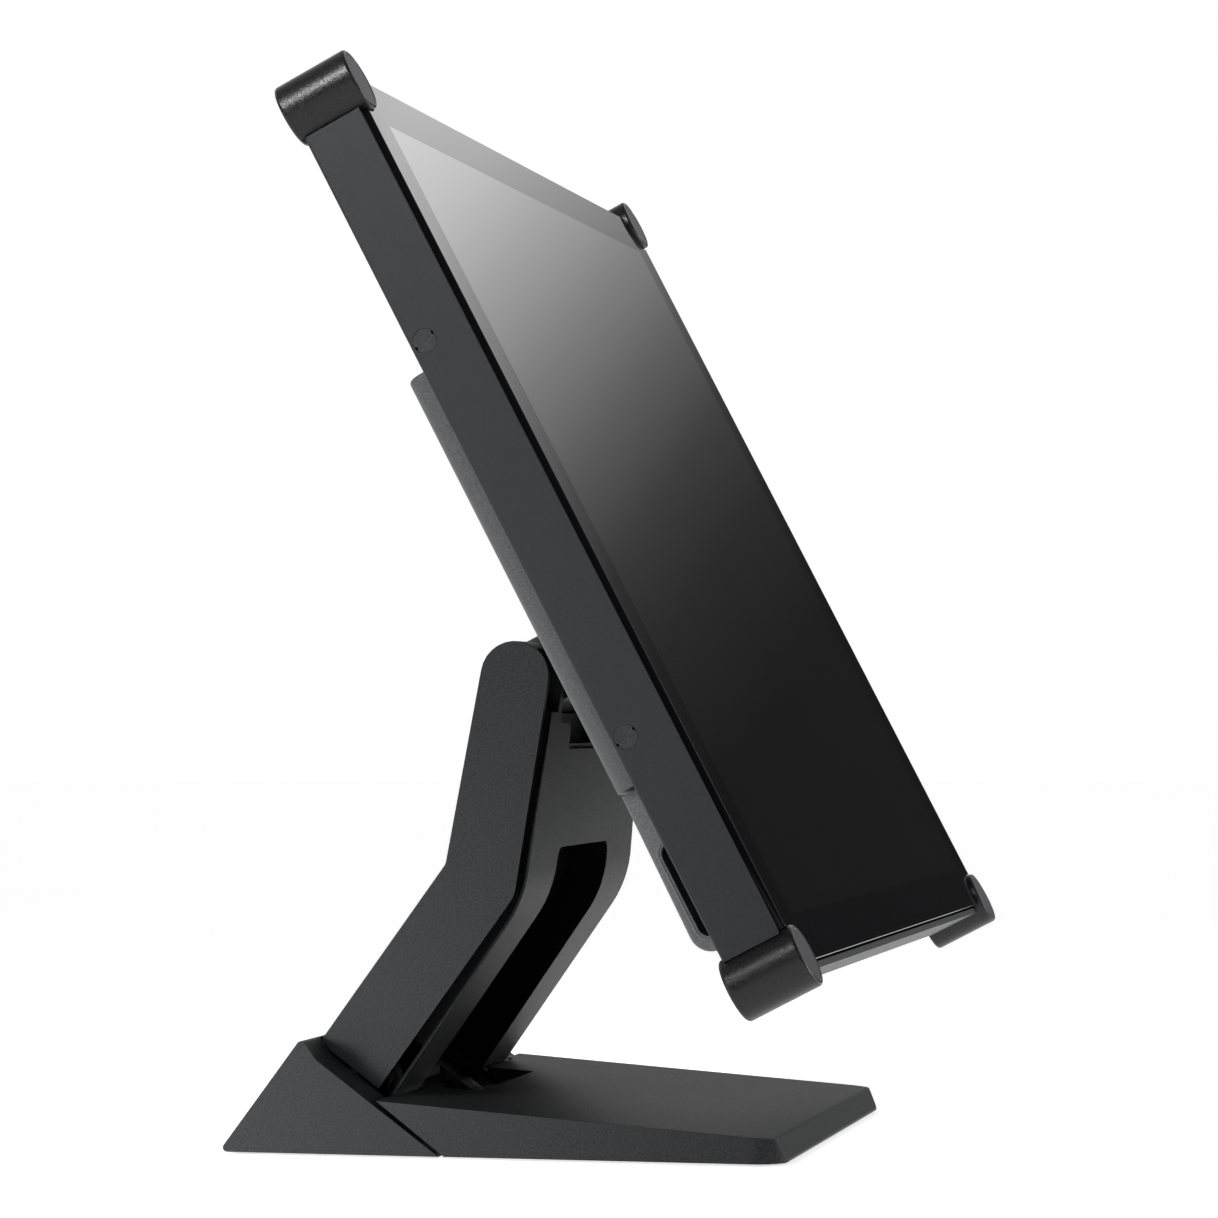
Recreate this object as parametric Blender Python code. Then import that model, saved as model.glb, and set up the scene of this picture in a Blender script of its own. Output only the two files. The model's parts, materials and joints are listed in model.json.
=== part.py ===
"""Touch display for a shop counter, on a bent-arm stand with two friction hinges.

Lengths here are millimetres and are turned into metres where vertices are made. +Z is up, the screen
faces -Y, and the origin is on the counter under the middle of the object's outer box. The display is
built flat in its own frame: x across, d the depth behind the front of the glass, v the height above the
middle of the screen. Its empty stands on the tilt axis and leans it back.
"""

import math

import bmesh
import bpy
from mathutils import Matrix, Vector

MM = 0.001
GAP = 0.3

# Display
TILT_DEG = 27.5
GLASS_WIDTH, GLASS_HEIGHT, GLASS_THICK = 335.0, 254.0, 2.8
HOUSING_WIDTH, HOUSING_HEIGHT = 339.0, 258.2
HOUSING_FRONT, HOUSING_REAR, HOUSING_WALL = 1.0, 18.0, 1.7
LCD_WIDTH, LCD_HEIGHT = 318.0, 239.0
CHASSIS_WIDTH, CHASSIS_HEIGHT = 326.0, 252.0
HUMP_TOP, HUMP_SEAM, HUMP_BOTTOM, HUMP_REAR = 55.0, -66.5, -113.5, 28.5
REAR_COVER_HALF, CABLE_COVER_HALF, CABLE_COVER_STEP = 144.0, 141.0, 0.7
HUMP_WALL = 2.0
CAP_RADIUS, CAP_X, CAP_V, CAP_FRONT, CAP_REAR = 8.5, 165.0, 125.4, -1.4, 19.6
PLUG_RADIUS, PLUG_V, PLUG_DEPTH = 3.1, 56.6, 13.9
OUTLET_LOW, OUTLET_HIGH, OUTLET_NEAR, OUTLET_FAR = -109.5, -83.0, 19.2, 25.4
BUTTON_X, BUTTON_TOP_V, BUTTON_PITCH, BUTTON_RADIUS, BUTTON_COUNT = 122.0, 8.0, 12.0, 3.0, 5
VESA_HALF = 37.5
TILT_AXIS_DEPTH, TILT_AXIS_V = 55.3, -16.8
SEAL_SIDE, SEAL_END = 14.0, 10.0
LCD_FRONT, LCD_REAR, CHASSIS_FRONT, CHASSIS_REAR = 3.9, 5.6, 5.9, 13.0
HOLE_CLEARANCE, SCREW_HOLE_RADIUS = 0.25, 2.4
CAP_RIM = 0.8

# Boards, sockets and speakers inside the back: x, v and depth limits
BOARDS = {
    "main_board": (-70, 60, -62, 38, 19.0, 20.6),
    "backlight_driver_board": (-118, -78, -12, 38, 19.0, 20.6),
    "touch_controller_board": (68, 108, -12, 36, 19.0, 20.6),
    "button_board": (115, 129, -48, 16, 20.4, 22.0),
}
SOCKETS = {
    "power_inlet": (-56, -44, -76, -62.3, 15.6, 25.6, "black_plastic"),
    "video_socket": (-24, -6, -76, -60, 20.9, 26.0, "steel"),
    "monitor_socket": (4, 36, -76, -60, 20.9, 26.0, "steel"),
    "usb_socket": (46, 59, -76, -60, 20.9, 26.0, "steel"),
}
SPEAKER_INNER, SPEAKER_OUTER, SPEAKER_LOW, SPEAKER_HIGH = 74.0, 110.0, -56.0, -20.0
SPEAKER_FRONT, SPEAKER_REAR = 19.0, 25.0
SOCKET_GAP = (-60.0, 63.0)

# Hinge bracket on the back of the display
BRACKET_HALF, BRACKET_THICK, STIFFENER_FRONT, STIFFENER_REAR = 46.0, 2.5, 22.6, 24.2
LUG_RADIUS = 7.0

# Stand, as points (y, z) of its side view
TILT_AXIS = (12.65, 132.5)
FOLD_AXIS = (54.65, 19.5)
ARM_HALF, ARM_WALL, EAR_INNER, EAR_WALL = 64.0, 2.0, 42.0, 4.0
ARM_TOP_RADIUS = 9.8
ARM_FOOT_REAR, ARM_KNEE_REAR = (69.05, 29.75), (32.5, 80.1)
ARM_FOOT_FRONT, ARM_KNEE_FRONT = (51.85, 17.05), (12.6, 71.4)
COVER_FOOT, COVER_KNEE, COVER_TOP = (47.75, 14.6), (9.04, 70.6), (3.1, 122.5)
COVER_KNEE_RADIUS, COVER_SKIN, COVER_LIP, COVER_UNDERCUT = 34.0, 1.3, 0.25, 2.6
CHANNEL_TOP, CHANNEL_DEPTH, TROUGH_SKIN = 84.0, 12.0, 1.5
FORK_BOTTOM, FORK_SILL, WINDOW_HALF, WINDOW_TOP = 112.0, 113.5, 33.5, 119.5

# Half widths of the arm's front cover and of its channel, as (height, half width)
COVER_HALF = ((14.6, 65.0), (50.0, 66.0), (80.0, 65.6), (122.5, 58.6))
CHANNEL_HALF = ((14.6, 36.5), (50.0, 36.5), (66.0, 34.0), (84.0, 31.5))
EAR_CAVITY_RADIUS, SEAT_CLEARANCE = 7.6, 0.6
RIB_INNER, RIB_OUTER = 50.5, 54.0
BASE_HALF, BASE_UNDER = 82.0, 0.6
SEAM_FOOT, SEAM_SLOPE = 28.75, 0.737
WEDGE_REAR, WEDGE_APEX, WEDGE_RIM = (92.6, BASE_UNDER), (68.9, 32.4), (64.6, 26.5)
PLATE_TIP, PLATE_FRONT_TOP, PLATE_FRONT_FOOT = (47.55, 15.6), (-63.7, 7.4), (-67.3, BASE_UNDER)
RECESS_HALF, RECESS_DEPTH, FOOT_CLEARANCE_Y = 66.0, 4.2, 45.2
POCKET_HALF, POCKET_FRONT, POCKET_FLOOR = 33.0, 31.0, 6.0
CABLE_PASS_HALF, CABLE_PASS_FRONT, CABLE_PASS_REAR = 26.0, 42.0, 58.0
CABLE_EXIT_HALF, CABLE_EXIT_TOP = 20.0, 11.0
BASE_WALL = 2.2
STEEL_HALF, STEEL_FRONT, STEEL_REAR, STEEL_LOW, STEEL_HIGH = 77.0, -58.0, 83.5, 1.8, 4.8
FOOT_RADIUS, FOOT_HEIGHT, FOOT_X, FOOT_FRONT, FOOT_BACK = 7.0, 1.5, 62.0, -44.0, 70.0

# Hinges: each side has a lug, the arm frame's flange outside it, and a pin through both
PIN_RADIUS, BORE_RADIUS, NUT_RADIUS = 3.0, 3.2, 5.0
FRAME_INNER, FRAME_OUTER = 48.0, 51.0
LUG_INNER, LUG_OUTER = 42.0, 46.0
TILT_LUG_INNER, TILT_LUG_OUTER = 33.0, 38.0
EYE_RADIUS, PIN_HEAD, PIN_REACH = 6.5, 3.0, 6.5
WASHER_RADIUS, WASHER_THICK, NUT_THICK = 6.0, 1.4, 3.0
NECK_HALF, NECK_WALL = 41.0, 2.0

# Finishes: colour, roughness, metallic
FINISHES = {
    "black_plastic": ((0.030, 0.031, 0.033), 0.55, 0.0),
    "satin_black": ((0.018, 0.018, 0.020), 0.38, 0.0),
    "grey_plastic": ((0.110, 0.112, 0.115), 0.45, 0.0),
    "dark_metal": ((0.040, 0.042, 0.045), 0.45, 0.6),
    "screen_glass": ((0.012, 0.013, 0.014), 0.06, 0.0),
    "steel": ((0.50, 0.50, 0.51), 0.35, 1.0),
    "circuit_green": ((0.03, 0.16, 0.07), 0.5, 0.0),
    "rubber": ((0.025, 0.025, 0.026), 0.85, 0.0),
}


def clear_scene():
    for obj in list(bpy.data.objects):
        bpy.data.objects.remove(obj, do_unlink=True)


def make_material(name, finish):
    colour, roughness, metallic = FINISHES[finish]
    material = bpy.data.materials.new(name)
    material.use_nodes = True
    shader = material.node_tree.nodes["Principled BSDF"]
    shader.inputs["Base Color"].default_value = (*colour, 1.0)
    shader.inputs["Roughness"].default_value = roughness
    shader.inputs["Metallic"].default_value = metallic
    material.diffuse_color = (*colour, 1.0)
    return material


def finish_object(name, mesh_data, finish, parent):
    """A new object of this bmesh with outward faces; with no finish it is a helper for a Boolean."""
    bmesh.ops.recalc_face_normals(mesh_data, faces=mesh_data.faces)
    mesh = bpy.data.meshes.new(name)
    mesh_data.to_mesh(mesh)
    mesh_data.free()
    obj = bpy.data.objects.new(name, mesh)
    bpy.context.scene.collection.objects.link(obj)
    obj.parent = parent
    if finish is None:
        obj.hide_render = True
        obj.display_type = "WIRE"
    else:
        mesh.shade_smooth()
        mesh.set_sharp_from_angle(angle=math.radians(30))
        mesh.materials.append(make_material(name + "_finish", finish))
    return obj


def combine(target, other, operation):
    modifier = target.modifiers.new(operation.lower() + "_" + other.name, "BOOLEAN")
    modifier.operation = operation
    modifier.object = other
    other.hide_render = True
    other.display_type = "WIRE"
    return target


def cut(target, *cutters):
    for cutter in cutters:
        combine(target, cutter, "DIFFERENCE")
    return target


def add(target, *pieces):
    for piece in pieces:
        combine(target, piece, "UNION")
    return target


def make_empty(name, place, turn_x_deg, parent):
    empty = bpy.data.objects.new(name, None)
    empty.location = Vector(place) * MM
    empty.rotation_euler = (math.radians(turn_x_deg), 0, 0)
    empty.parent = parent
    bpy.context.scene.collection.objects.link(empty)
    return empty


# ---- outlines -------------------------------------------------------------------------------------


def rounded(corners, steps=4):
    """The outline through (a, b, radius) corners, each turned into an arc of its radius."""
    points = []
    for i, (a, b, radius) in enumerate(corners):
        here = Vector((a, b))
        if not radius:
            points.append(here)
            continue
        before = (Vector(corners[i - 1][:2]) - here).normalized()
        after = (Vector(corners[(i + 1) % len(corners)][:2]) - here).normalized()
        half = math.acos(max(-1, min(1, before.dot(after)))) / 2
        start = here + before * (radius / math.tan(half))
        end = here + after * (radius / math.tan(half))
        centre = here + (before + after).normalized() * (radius / math.sin(half))
        turn = (start - centre).angle_signed(end - centre)
        for k in range(steps + 1):
            swing = Matrix.Rotation(-turn * k / steps, 2)
            points.append(centre + swing @ (start - centre))
    return points


def rectangle(a0, a1, b0, b1, radius=0.0, steps=4):
    return rounded([(a0, b0, radius), (a1, b0, radius), (a1, b1, radius), (a0, b1, radius)], steps)


def offset(line, distance):
    """An open polyline moved to its left by a distance, with mitred corners."""
    line = [Vector(point[:2]) for point in line]
    sides = [(b - a).normalized() for a, b in zip(line, line[1:])]
    normals = [Vector((-side.y, side.x)) for side in sides]
    moved = [line[0] + normals[0] * distance]
    for point, first, second in zip(line[1:-1], normals, normals[1:]):
        mitre = (first + second).normalized()
        moved.append(point + mitre * (distance / mitre.dot(first)))
    return moved + [line[-1] + normals[-1] * distance]


def arc(centre, radius, start_deg, end_deg, steps):
    points = []
    for k in range(steps + 1):
        angle = math.radians(start_deg + (end_deg - start_deg) * k / steps)
        points.append(Vector(centre) + radius * Vector((math.cos(angle), math.sin(angle))))
    return points


def disc(centre, radius, steps=24):
    return arc(centre, radius, 0, 360 - 360 / steps, steps - 1)


# ---- solids ---------------------------------------------------------------------------------------


def extruded(name, outline, low, high, place, finish, parent):
    """A straight solid between two copies of an outline; place(a, b, t) gives a vertex in millimetres."""
    mesh_data = bmesh.new()
    rings = []
    for t in (low, high):
        rings.append([mesh_data.verts.new(Vector(place(p[0], p[1], t)) * MM) for p in outline])
    mesh_data.faces.new(rings[0])
    mesh_data.faces.new(rings[1])
    for i in range(len(outline)):
        j = (i + 1) % len(outline)
        mesh_data.faces.new((rings[0][i], rings[0][j], rings[1][j], rings[1][i]))
    return finish_object(name, mesh_data, finish, parent)


def side_prism(name, outline, x0, x1, finish=None, parent=None):
    """Extruded along X from a side view (y, z), given about the parent's origin in world terms."""
    base = parent["axis"] if parent else (0.0, 0.0)
    return extruded(
        name, outline, x0, x1, lambda y, z, x: (x, y - base[0], z - base[1]), finish, parent
    )


def plan_prism(name, outline, z0, z1, finish=None, parent=None):
    return extruded(name, outline, z0, z1, lambda x, y, z: (x, y, z), finish, parent)


def panel(name, outline, d0, d1, display, finish=None):
    """Extruded through the display's depth from a front view (x, v)."""
    return extruded(
        name,
        outline,
        d0,
        d1,
        lambda x, v, d: (x, d - TILT_AXIS_DEPTH, v - TILT_AXIS_V),
        finish,
        display,
    )


def display_prism(name, outline, x0, x1, display, finish=None):
    """Extruded across the display from a section (d, v)."""
    return extruded(
        name,
        outline,
        x0,
        x1,
        lambda d, v, x: (x, d - TILT_AXIS_DEPTH, v - TILT_AXIS_V),
        finish,
        display,
    )


def turned(name, profile, place, finish, parent, steps=24):
    """A solid of revolution: profile points are (radius, along), and place maps (a, b, along)."""
    mesh_data = bmesh.new()
    rings = []
    for radius, along in profile:
        points = disc((0, 0), radius, steps)
        rings.append([mesh_data.verts.new(Vector(place(p.x, p.y, along)) * MM) for p in points])
    for first, second in zip(rings, rings[1:]):
        for i in range(steps):
            j = (i + 1) % steps
            mesh_data.faces.new((first[i], first[j], second[j], second[i]))
    mesh_data.faces.new(rings[0])
    mesh_data.faces.new(rings[-1])
    return finish_object(name, mesh_data, finish, parent)


def normal_pin(name, x, v, profile, display, finish, steps=24):
    """Turned about an axis square to the screen; the profile runs through the depth."""
    return turned(
        name,
        profile,
        lambda a, b, d: (x + a, d - TILT_AXIS_DEPTH, v - TILT_AXIS_V + b),
        finish,
        display,
        steps,
    )


def cross_pin(name, y, z, profile, finish, parent, steps=24):
    """Turned about an axis along X, at (y, z) from the parent's origin."""
    return turned(name, profile, lambda a, b, x: (x, y + a, z + b), finish, parent, steps)


# ---- display --------------------------------------------------------------------------------------


def corner_places():
    return [(sx * CAP_X, sv * CAP_V) for sx in (-1, 1) for sv in (-1, 1)]


def corner_name(x, v):
    return ("top" if v > 0 else "bottom") + "_" + ("left" if x < 0 else "right")


def corner_cutters(name, radius, display):
    cutters = []
    for x, v in corner_places():
        profile = [(radius, CAP_FRONT - 5), (radius, CAP_REAR + 5)]
        cutters.append(normal_pin(name + corner_name(x, v), x, v, profile, display, None, 32))
    return cutters


def make_glass(display):
    half_w, half_h = GLASS_WIDTH / 2, GLASS_HEIGHT / 2
    glass = panel(
        "cover_glass", rectangle(-half_w, half_w, -half_h, half_h, 2), 0, GLASS_THICK, display,
        "screen_glass",
    )
    cut(glass, *corner_cutters("glass_notch_", CAP_RADIUS + GAP, display))
    outer = rectangle(-half_w + 3, half_w - 3, -half_h + 3, half_h - 3)
    inner = rectangle(
        -half_w + SEAL_SIDE, half_w - SEAL_SIDE, -half_h + SEAL_END, half_h - SEAL_END
    )
    low, high = GLASS_THICK + GAP, GLASS_THICK + 0.8
    seal = panel("glass_seal", outer, low, high, display, "rubber")
    cut(seal, panel("seal_opening", inner, low - 1, high + 1, display))
    cut(seal, *corner_cutters("seal_notch_", CAP_RADIUS + GAP, display))


def make_housing(display):
    half_w, half_h = HOUSING_WIDTH / 2, HOUSING_HEIGHT / 2
    wall = HOUSING_WALL
    housing = panel(
        "housing", rectangle(-half_w, half_w, -half_h, half_h, 3), HOUSING_FRONT, HOUSING_REAR,
        display, "dark_metal",
    )
    inside = rectangle(-half_w + wall, half_w - wall, -half_h + wall, half_h - wall, 1.5)
    window = rectangle(-128, 128, HUMP_BOTTOM + 10, HUMP_TOP - 10, 4)
    cut(housing, panel("housing_inside", inside, -2, HOUSING_REAR - wall, display))
    cut(housing, panel("housing_window", window, 10, 22, display))
    cut(housing, *corner_cutters("housing_notch_", CAP_RADIUS + GAP, display))
    for side in (-1, 1):
        for v in (-PLUG_V, PLUG_V):
            name = ("left" if side < 0 else "right") + ("_upper" if v > 0 else "_lower")
            cutter = plug_shape("plug_hole_" + name, side, v, PLUG_RADIUS + 0.15, 6, display, None)
            cut(housing, cutter)
            plug_shape("side_plug_" + name, side, v, PLUG_RADIUS, 0, display, "black_plastic")


def plug_shape(name, side, v, radius, extra, display, finish):
    """A short round plug in a side wall, flush with its outer face; extra lengthens a cutter."""
    outer, inner = HOUSING_WIDTH / 2 + extra, HOUSING_WIDTH / 2 - 3.0 - extra / 6
    y, z = PLUG_DEPTH - TILT_AXIS_DEPTH, v - TILT_AXIS_V
    return cross_pin(name, y, z, [(radius, side * inner), (radius, side * outer)], finish, display)


def make_caps(display):
    rim = CAP_RIM
    profile = [
        (CAP_RADIUS - rim, CAP_FRONT),
        (CAP_RADIUS - rim * 0.3, CAP_FRONT + rim * 0.3),
        (CAP_RADIUS, CAP_FRONT + rim),
        (CAP_RADIUS, CAP_REAR - rim),
        (CAP_RADIUS - rim * 0.3, CAP_REAR - rim * 0.3),
        (CAP_RADIUS - rim, CAP_REAR),
    ]
    for x, v in corner_places():
        name = "corner_cap_" + corner_name(x, v)
        normal_pin(name, x, v, profile, display, "satin_black", 32)


def make_screen_unit(display):
    half_w, half_h = LCD_WIDTH / 2, LCD_HEIGHT / 2
    cell = panel(
        "lcd_cell", rectangle(-half_w, half_w, -half_h, half_h), LCD_FRONT, LCD_REAR, display,
        "screen_glass",
    )
    cut(cell, *corner_cutters("cell_notch_", CAP_RADIUS + GAP, display))
    half_w, half_h = CHASSIS_WIDTH / 2, CHASSIS_HEIGHT / 2
    tray = panel(
        "backlight_tray", rectangle(-half_w, half_w, -half_h, half_h), CHASSIS_FRONT, CHASSIS_REAR,
        display, "steel",
    )
    cut(tray, *corner_cutters("tray_notch_", CAP_RADIUS + GAP, display))


def make_electronics(display):
    for name, (x0, x1, v0, v1, d0, d1) in BOARDS.items():
        panel(name, rectangle(x0, x1, v0, v1), d0, d1, display, "circuit_green")
    for name, (x0, x1, v0, v1, d0, d1, finish) in SOCKETS.items():
        panel(name, rectangle(x0, x1, v0, v1, 0.8, 2), d0, d1, display, finish)
    for side, name in ((-1, "speaker_left"), (1, "speaker_right")):
        x0, x1 = sorted((side * SPEAKER_INNER, side * SPEAKER_OUTER))
        outline = rectangle(x0, x1, SPEAKER_LOW, SPEAKER_HIGH, 4)
        panel(name, outline, SPEAKER_FRONT, SPEAKER_REAR, display, "black_plastic")


def make_rear_cover(display):
    low, high = HUMP_SEAM + GAP, HUMP_TOP
    hollow = (low + HUMP_WALL, high - HUMP_WALL)
    shell = hump_shell("rear_cover", REAR_COVER_HALF, (low, high), hollow, display)
    sockets = rectangle(*SOCKET_GAP, low - 3, low + HUMP_WALL + 3)
    cut(shell, panel("socket_gap", sockets, HOUSING_REAR - 3, HUMP_REAR - HUMP_WALL, display))
    for k in range(BUTTON_COUNT):
        v = BUTTON_TOP_V - k * BUTTON_PITCH
        radius = BUTTON_RADIUS + HOLE_CLEARANCE
        profile = [(radius, HUMP_REAR - 4), (radius, HUMP_REAR + 4)]
        hole = normal_pin("button_hole_%d" % k, BUTTON_X, v, profile, display, None, 16)
        cut(shell, hole)
    for x, v, name in vesa_places():
        cut(shell, screw_hole("cover_" + name, x, v, display))


def hump_shell(name, half, heights, hollow, display):
    """The raised part of the back: rounded outside, hollow between two heights, open in front."""
    wall = HUMP_WALL
    outline = rectangle(-half, half, *heights, 4)
    shell = panel(name, outline, HOUSING_REAR + GAP, HUMP_REAR, display, "grey_plastic")
    inside = rectangle(-half + wall, half - wall, *hollow, 4)
    cut(shell, panel(name + "_inside", inside, HOUSING_REAR - 3, HUMP_REAR - wall, display))
    return shell


def make_cable_cover(display):
    hollow = (HUMP_BOTTOM + HUMP_WALL, HUMP_SEAM + 8)
    heights = (HUMP_BOTTOM, HUMP_SEAM)
    shell = hump_shell("cable_cover", CABLE_COVER_HALF, heights, hollow, display)
    slope = [(HUMP_REAR - CABLE_COVER_STEP, HUMP_SEAM + 1), (HUMP_REAR, HUMP_BOTTOM + 12)]
    slope += [(HUMP_REAR + 3, HUMP_BOTTOM + 12), (HUMP_REAR + 3, HUMP_SEAM + 1)]
    reach = CABLE_COVER_HALF + 5
    cut(shell, display_prism("cover_slope", [Vector(p) for p in slope], -reach, reach, display))
    middle = (OUTLET_NEAR + OUTLET_FAR) / 2
    radius = (OUTLET_FAR - OUTLET_NEAR) / 2
    ends = [(middle, OUTLET_LOW + radius), (middle, OUTLET_HIGH - radius)]
    outline = arc(ends[0], radius, 180, 360, 8) + arc(ends[1], radius, 0, 180, 8)
    inner = CABLE_COVER_HALF - 6
    cut(shell, display_prism("outlet_left", outline, -reach, -inner, display))
    cut(shell, display_prism("outlet_right", outline, inner, reach, display))


def make_buttons(display):
    """Power key and four menu keys on the back; each origin is on the key's own axis."""
    for k in range(BUTTON_COUNT):
        v = BUTTON_TOP_V - k * BUTTON_PITCH
        seat = (BUTTON_X, HUMP_REAR - TILT_AXIS_DEPTH, v - TILT_AXIS_V)
        name = "power_key" if k == 0 else "menu_key_%d" % k
        holder = make_empty(name + "_axis", seat, 0, display)
        profile = [
            (BUTTON_RADIUS + 0.8, -3.2),
            (BUTTON_RADIUS + 0.8, -2.4),
            (BUTTON_RADIUS, -2.3),
            (BUTTON_RADIUS, 0.5),
            (BUTTON_RADIUS - 0.4, 0.9),
        ]
        turned(name, profile, lambda a, b, d: (a, d, b), "black_plastic", holder, 16)


def vesa_places():
    places = []
    for x in (-VESA_HALF, VESA_HALF):
        for dv in (-VESA_HALF, VESA_HALF):
            name = ("upper" if dv > 0 else "lower") + ("_left" if x < 0 else "_right")
            places.append((x, TILT_AXIS_V + dv, name))
    return places


def screw_hole(name, x, v, display):
    profile = [(SCREW_HOLE_RADIUS, HOUSING_REAR + 3), (SCREW_HOLE_RADIUS, HUMP_REAR + 7)]
    return normal_pin(name, x, v, profile, display, None, 12)


def make_hinge_bracket(display):
    """Steel plate on the back with two lugs that carry the tilt pins."""
    size, low = BRACKET_HALF, HUMP_REAR + GAP
    high = low + BRACKET_THICK
    mid = TILT_AXIS_V
    outline = rectangle(-size, size, mid - size, mid + size, 4)
    bracket = panel("hinge_bracket", outline, low, high, display, "steel")
    section = [Vector((low + 1, mid - LUG_RADIUS)), Vector((TILT_AXIS_DEPTH, mid - LUG_RADIUS))]
    section += arc((TILT_AXIS_DEPTH, mid), LUG_RADIUS, -80, 80, 8)
    section += [Vector((TILT_AXIS_DEPTH, mid + LUG_RADIUS)), Vector((low + 1, mid + LUG_RADIUS))]
    for side in (-1, 1):
        name = "left" if side < 0 else "right"
        x0, x1 = sorted((side * TILT_LUG_INNER, side * TILT_LUG_OUTER))
        add(bracket, display_prism("tilt_lug_" + name, section, x0, x1, display))
        hole = [(BORE_RADIUS, side * (TILT_LUG_INNER - 2)), (BORE_RADIUS, side * (NECK_HALF - 2))]
        cut(bracket, cross_pin("lug_bore_" + name, 0, 0, hole, None, display))
    for x, v, name in vesa_places():
        cut(bracket, screw_hole("plate_" + name, x, v, display))
        head = high + GAP
        profile = [(2.0, STIFFENER_FRONT - 1), (2.0, head), (3.8, head), (3.8, head + 1.5)]
        profile += [(3.0, head + 2.0)]
        normal_pin("bracket_screw_" + name, x, v, profile, display, "steel", 16)
    inner = rectangle(-size + 4, size - 4, mid - size + 4, mid + size - 4, 4)
    stiffener = panel("cover_stiffener", inner, STIFFENER_FRONT, STIFFENER_REAR, display, "steel")
    for x, v, name in vesa_places():
        cut(stiffener, screw_hole("stiffener_" + name, x, v, display))
    opening = rectangle(-28, 28, mid - 28, mid + 28, 4)
    low, high = STIFFENER_FRONT - 2, STIFFENER_REAR + 2
    cut(stiffener, panel("stiffener_opening", opening, low, high, display))


def make_neck_cover(display):
    """Round-backed cover over the lugs; it fills the fork at the arm's top."""
    mid, radius, wall = TILT_AXIS_V, ARM_TOP_RADIUS, NECK_WALL
    front = HUMP_REAR + GAP + BRACKET_THICK + GAP
    outer = [Vector((front, mid - radius))]
    outer += arc((TILT_AXIS_DEPTH, mid), radius, -90, 90, 16)
    outer += [Vector((front, mid + radius))]
    inner = [Vector((front - 3, mid - radius + wall))]
    inner += arc((TILT_AXIS_DEPTH, mid), radius - wall, -90, 90, 12)
    inner += [Vector((front - 3, mid + radius - wall))]
    cover = display_prism("neck_cover", outer, -NECK_HALF, NECK_HALF, display, "black_plastic")
    cut(cover, display_prism("neck_inside", inner, -NECK_HALF + wall, NECK_HALF - wall, display))
    radius = BORE_RADIUS + SEAT_CLEARANCE
    bore = [(radius, -NECK_HALF - 2), (radius, NECK_HALF + 2)]
    cut(cover, cross_pin("neck_bore", 0, 0, bore, None, display))


def make_hinge_pins(parent, label, lug_inner, washers):
    """A headed pin with its nut on each side; the pair clamps the lug to the arm frame's flange."""
    for side, name in ((-1, "left"), (1, "right")):
        seat, end = lug_inner - GAP, FRAME_OUTER + PIN_REACH
        steps = [(NUT_RADIUS, lug_inner - PIN_HEAD), (NUT_RADIUS, seat)]
        steps += [(PIN_RADIUS, seat), (PIN_RADIUS, end)]
        profile = [(radius, side * x) for radius, x in steps]
        cross_pin(label + "_pin_" + name, 0, 0, profile, "steel", parent)
        start = FRAME_OUTER + 0.2 + GAP
        if washers:
            ring = label + "_washer_" + name
            make_ring(ring, WASHER_RADIUS, start, start + WASHER_THICK, side, parent, 24)
            start += WASHER_THICK + GAP
        make_ring(label + "_nut_" + name, NUT_RADIUS, start, start + NUT_THICK, side, parent, 6)


def make_ring(name, radius, x0, x1, side, parent, steps):
    outer = [(radius, side * x0), (radius, side * x1)]
    ring = cross_pin(name, 0, 0, outer, "steel", parent, steps)
    hole = [(BORE_RADIUS, side * (x0 - 1)), (BORE_RADIUS, side * (x1 + 1))]
    return cut(ring, cross_pin(name + "_bore", 0, 0, hole, None, parent))


def make_display():
    x, y, z = 0, TILT_AXIS[0], TILT_AXIS[1]
    display = make_empty("display_axis", (x, y, z), -TILT_DEG, None)
    make_glass(display)
    make_housing(display)
    make_caps(display)
    make_screen_unit(display)
    make_electronics(display)
    make_rear_cover(display)
    make_cable_cover(display)
    make_buttons(display)
    make_hinge_bracket(display)
    make_neck_cover(display)
    make_hinge_pins(display, "tilt", TILT_LUG_INNER, True)


# ---- arm ------------------------------------------------------------------------------------------


def arm_rear_line():
    return [ARM_FOOT_REAR, ARM_KNEE_REAR, (22.3, 134.1)]


def arm_front_line():
    return [ARM_FOOT_FRONT, ARM_KNEE_FRONT, (3.0, 130.9)]


def cover_line():
    return [COVER_FOOT, COVER_KNEE, COVER_TOP]


def stretched(line, distance):
    """The polyline with its first end moved back along its own direction."""
    first, second = Vector(line[0]), Vector(line[1])
    return [first - (second - first).normalized() * distance] + [Vector(p) for p in line[1:]]


def knee(points, radius):
    """(y, z, radius) corners of a three-point line, rounded at its middle."""
    return [(*points[0], 0), (*points[1], radius), (*points[2], 0)]


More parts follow.
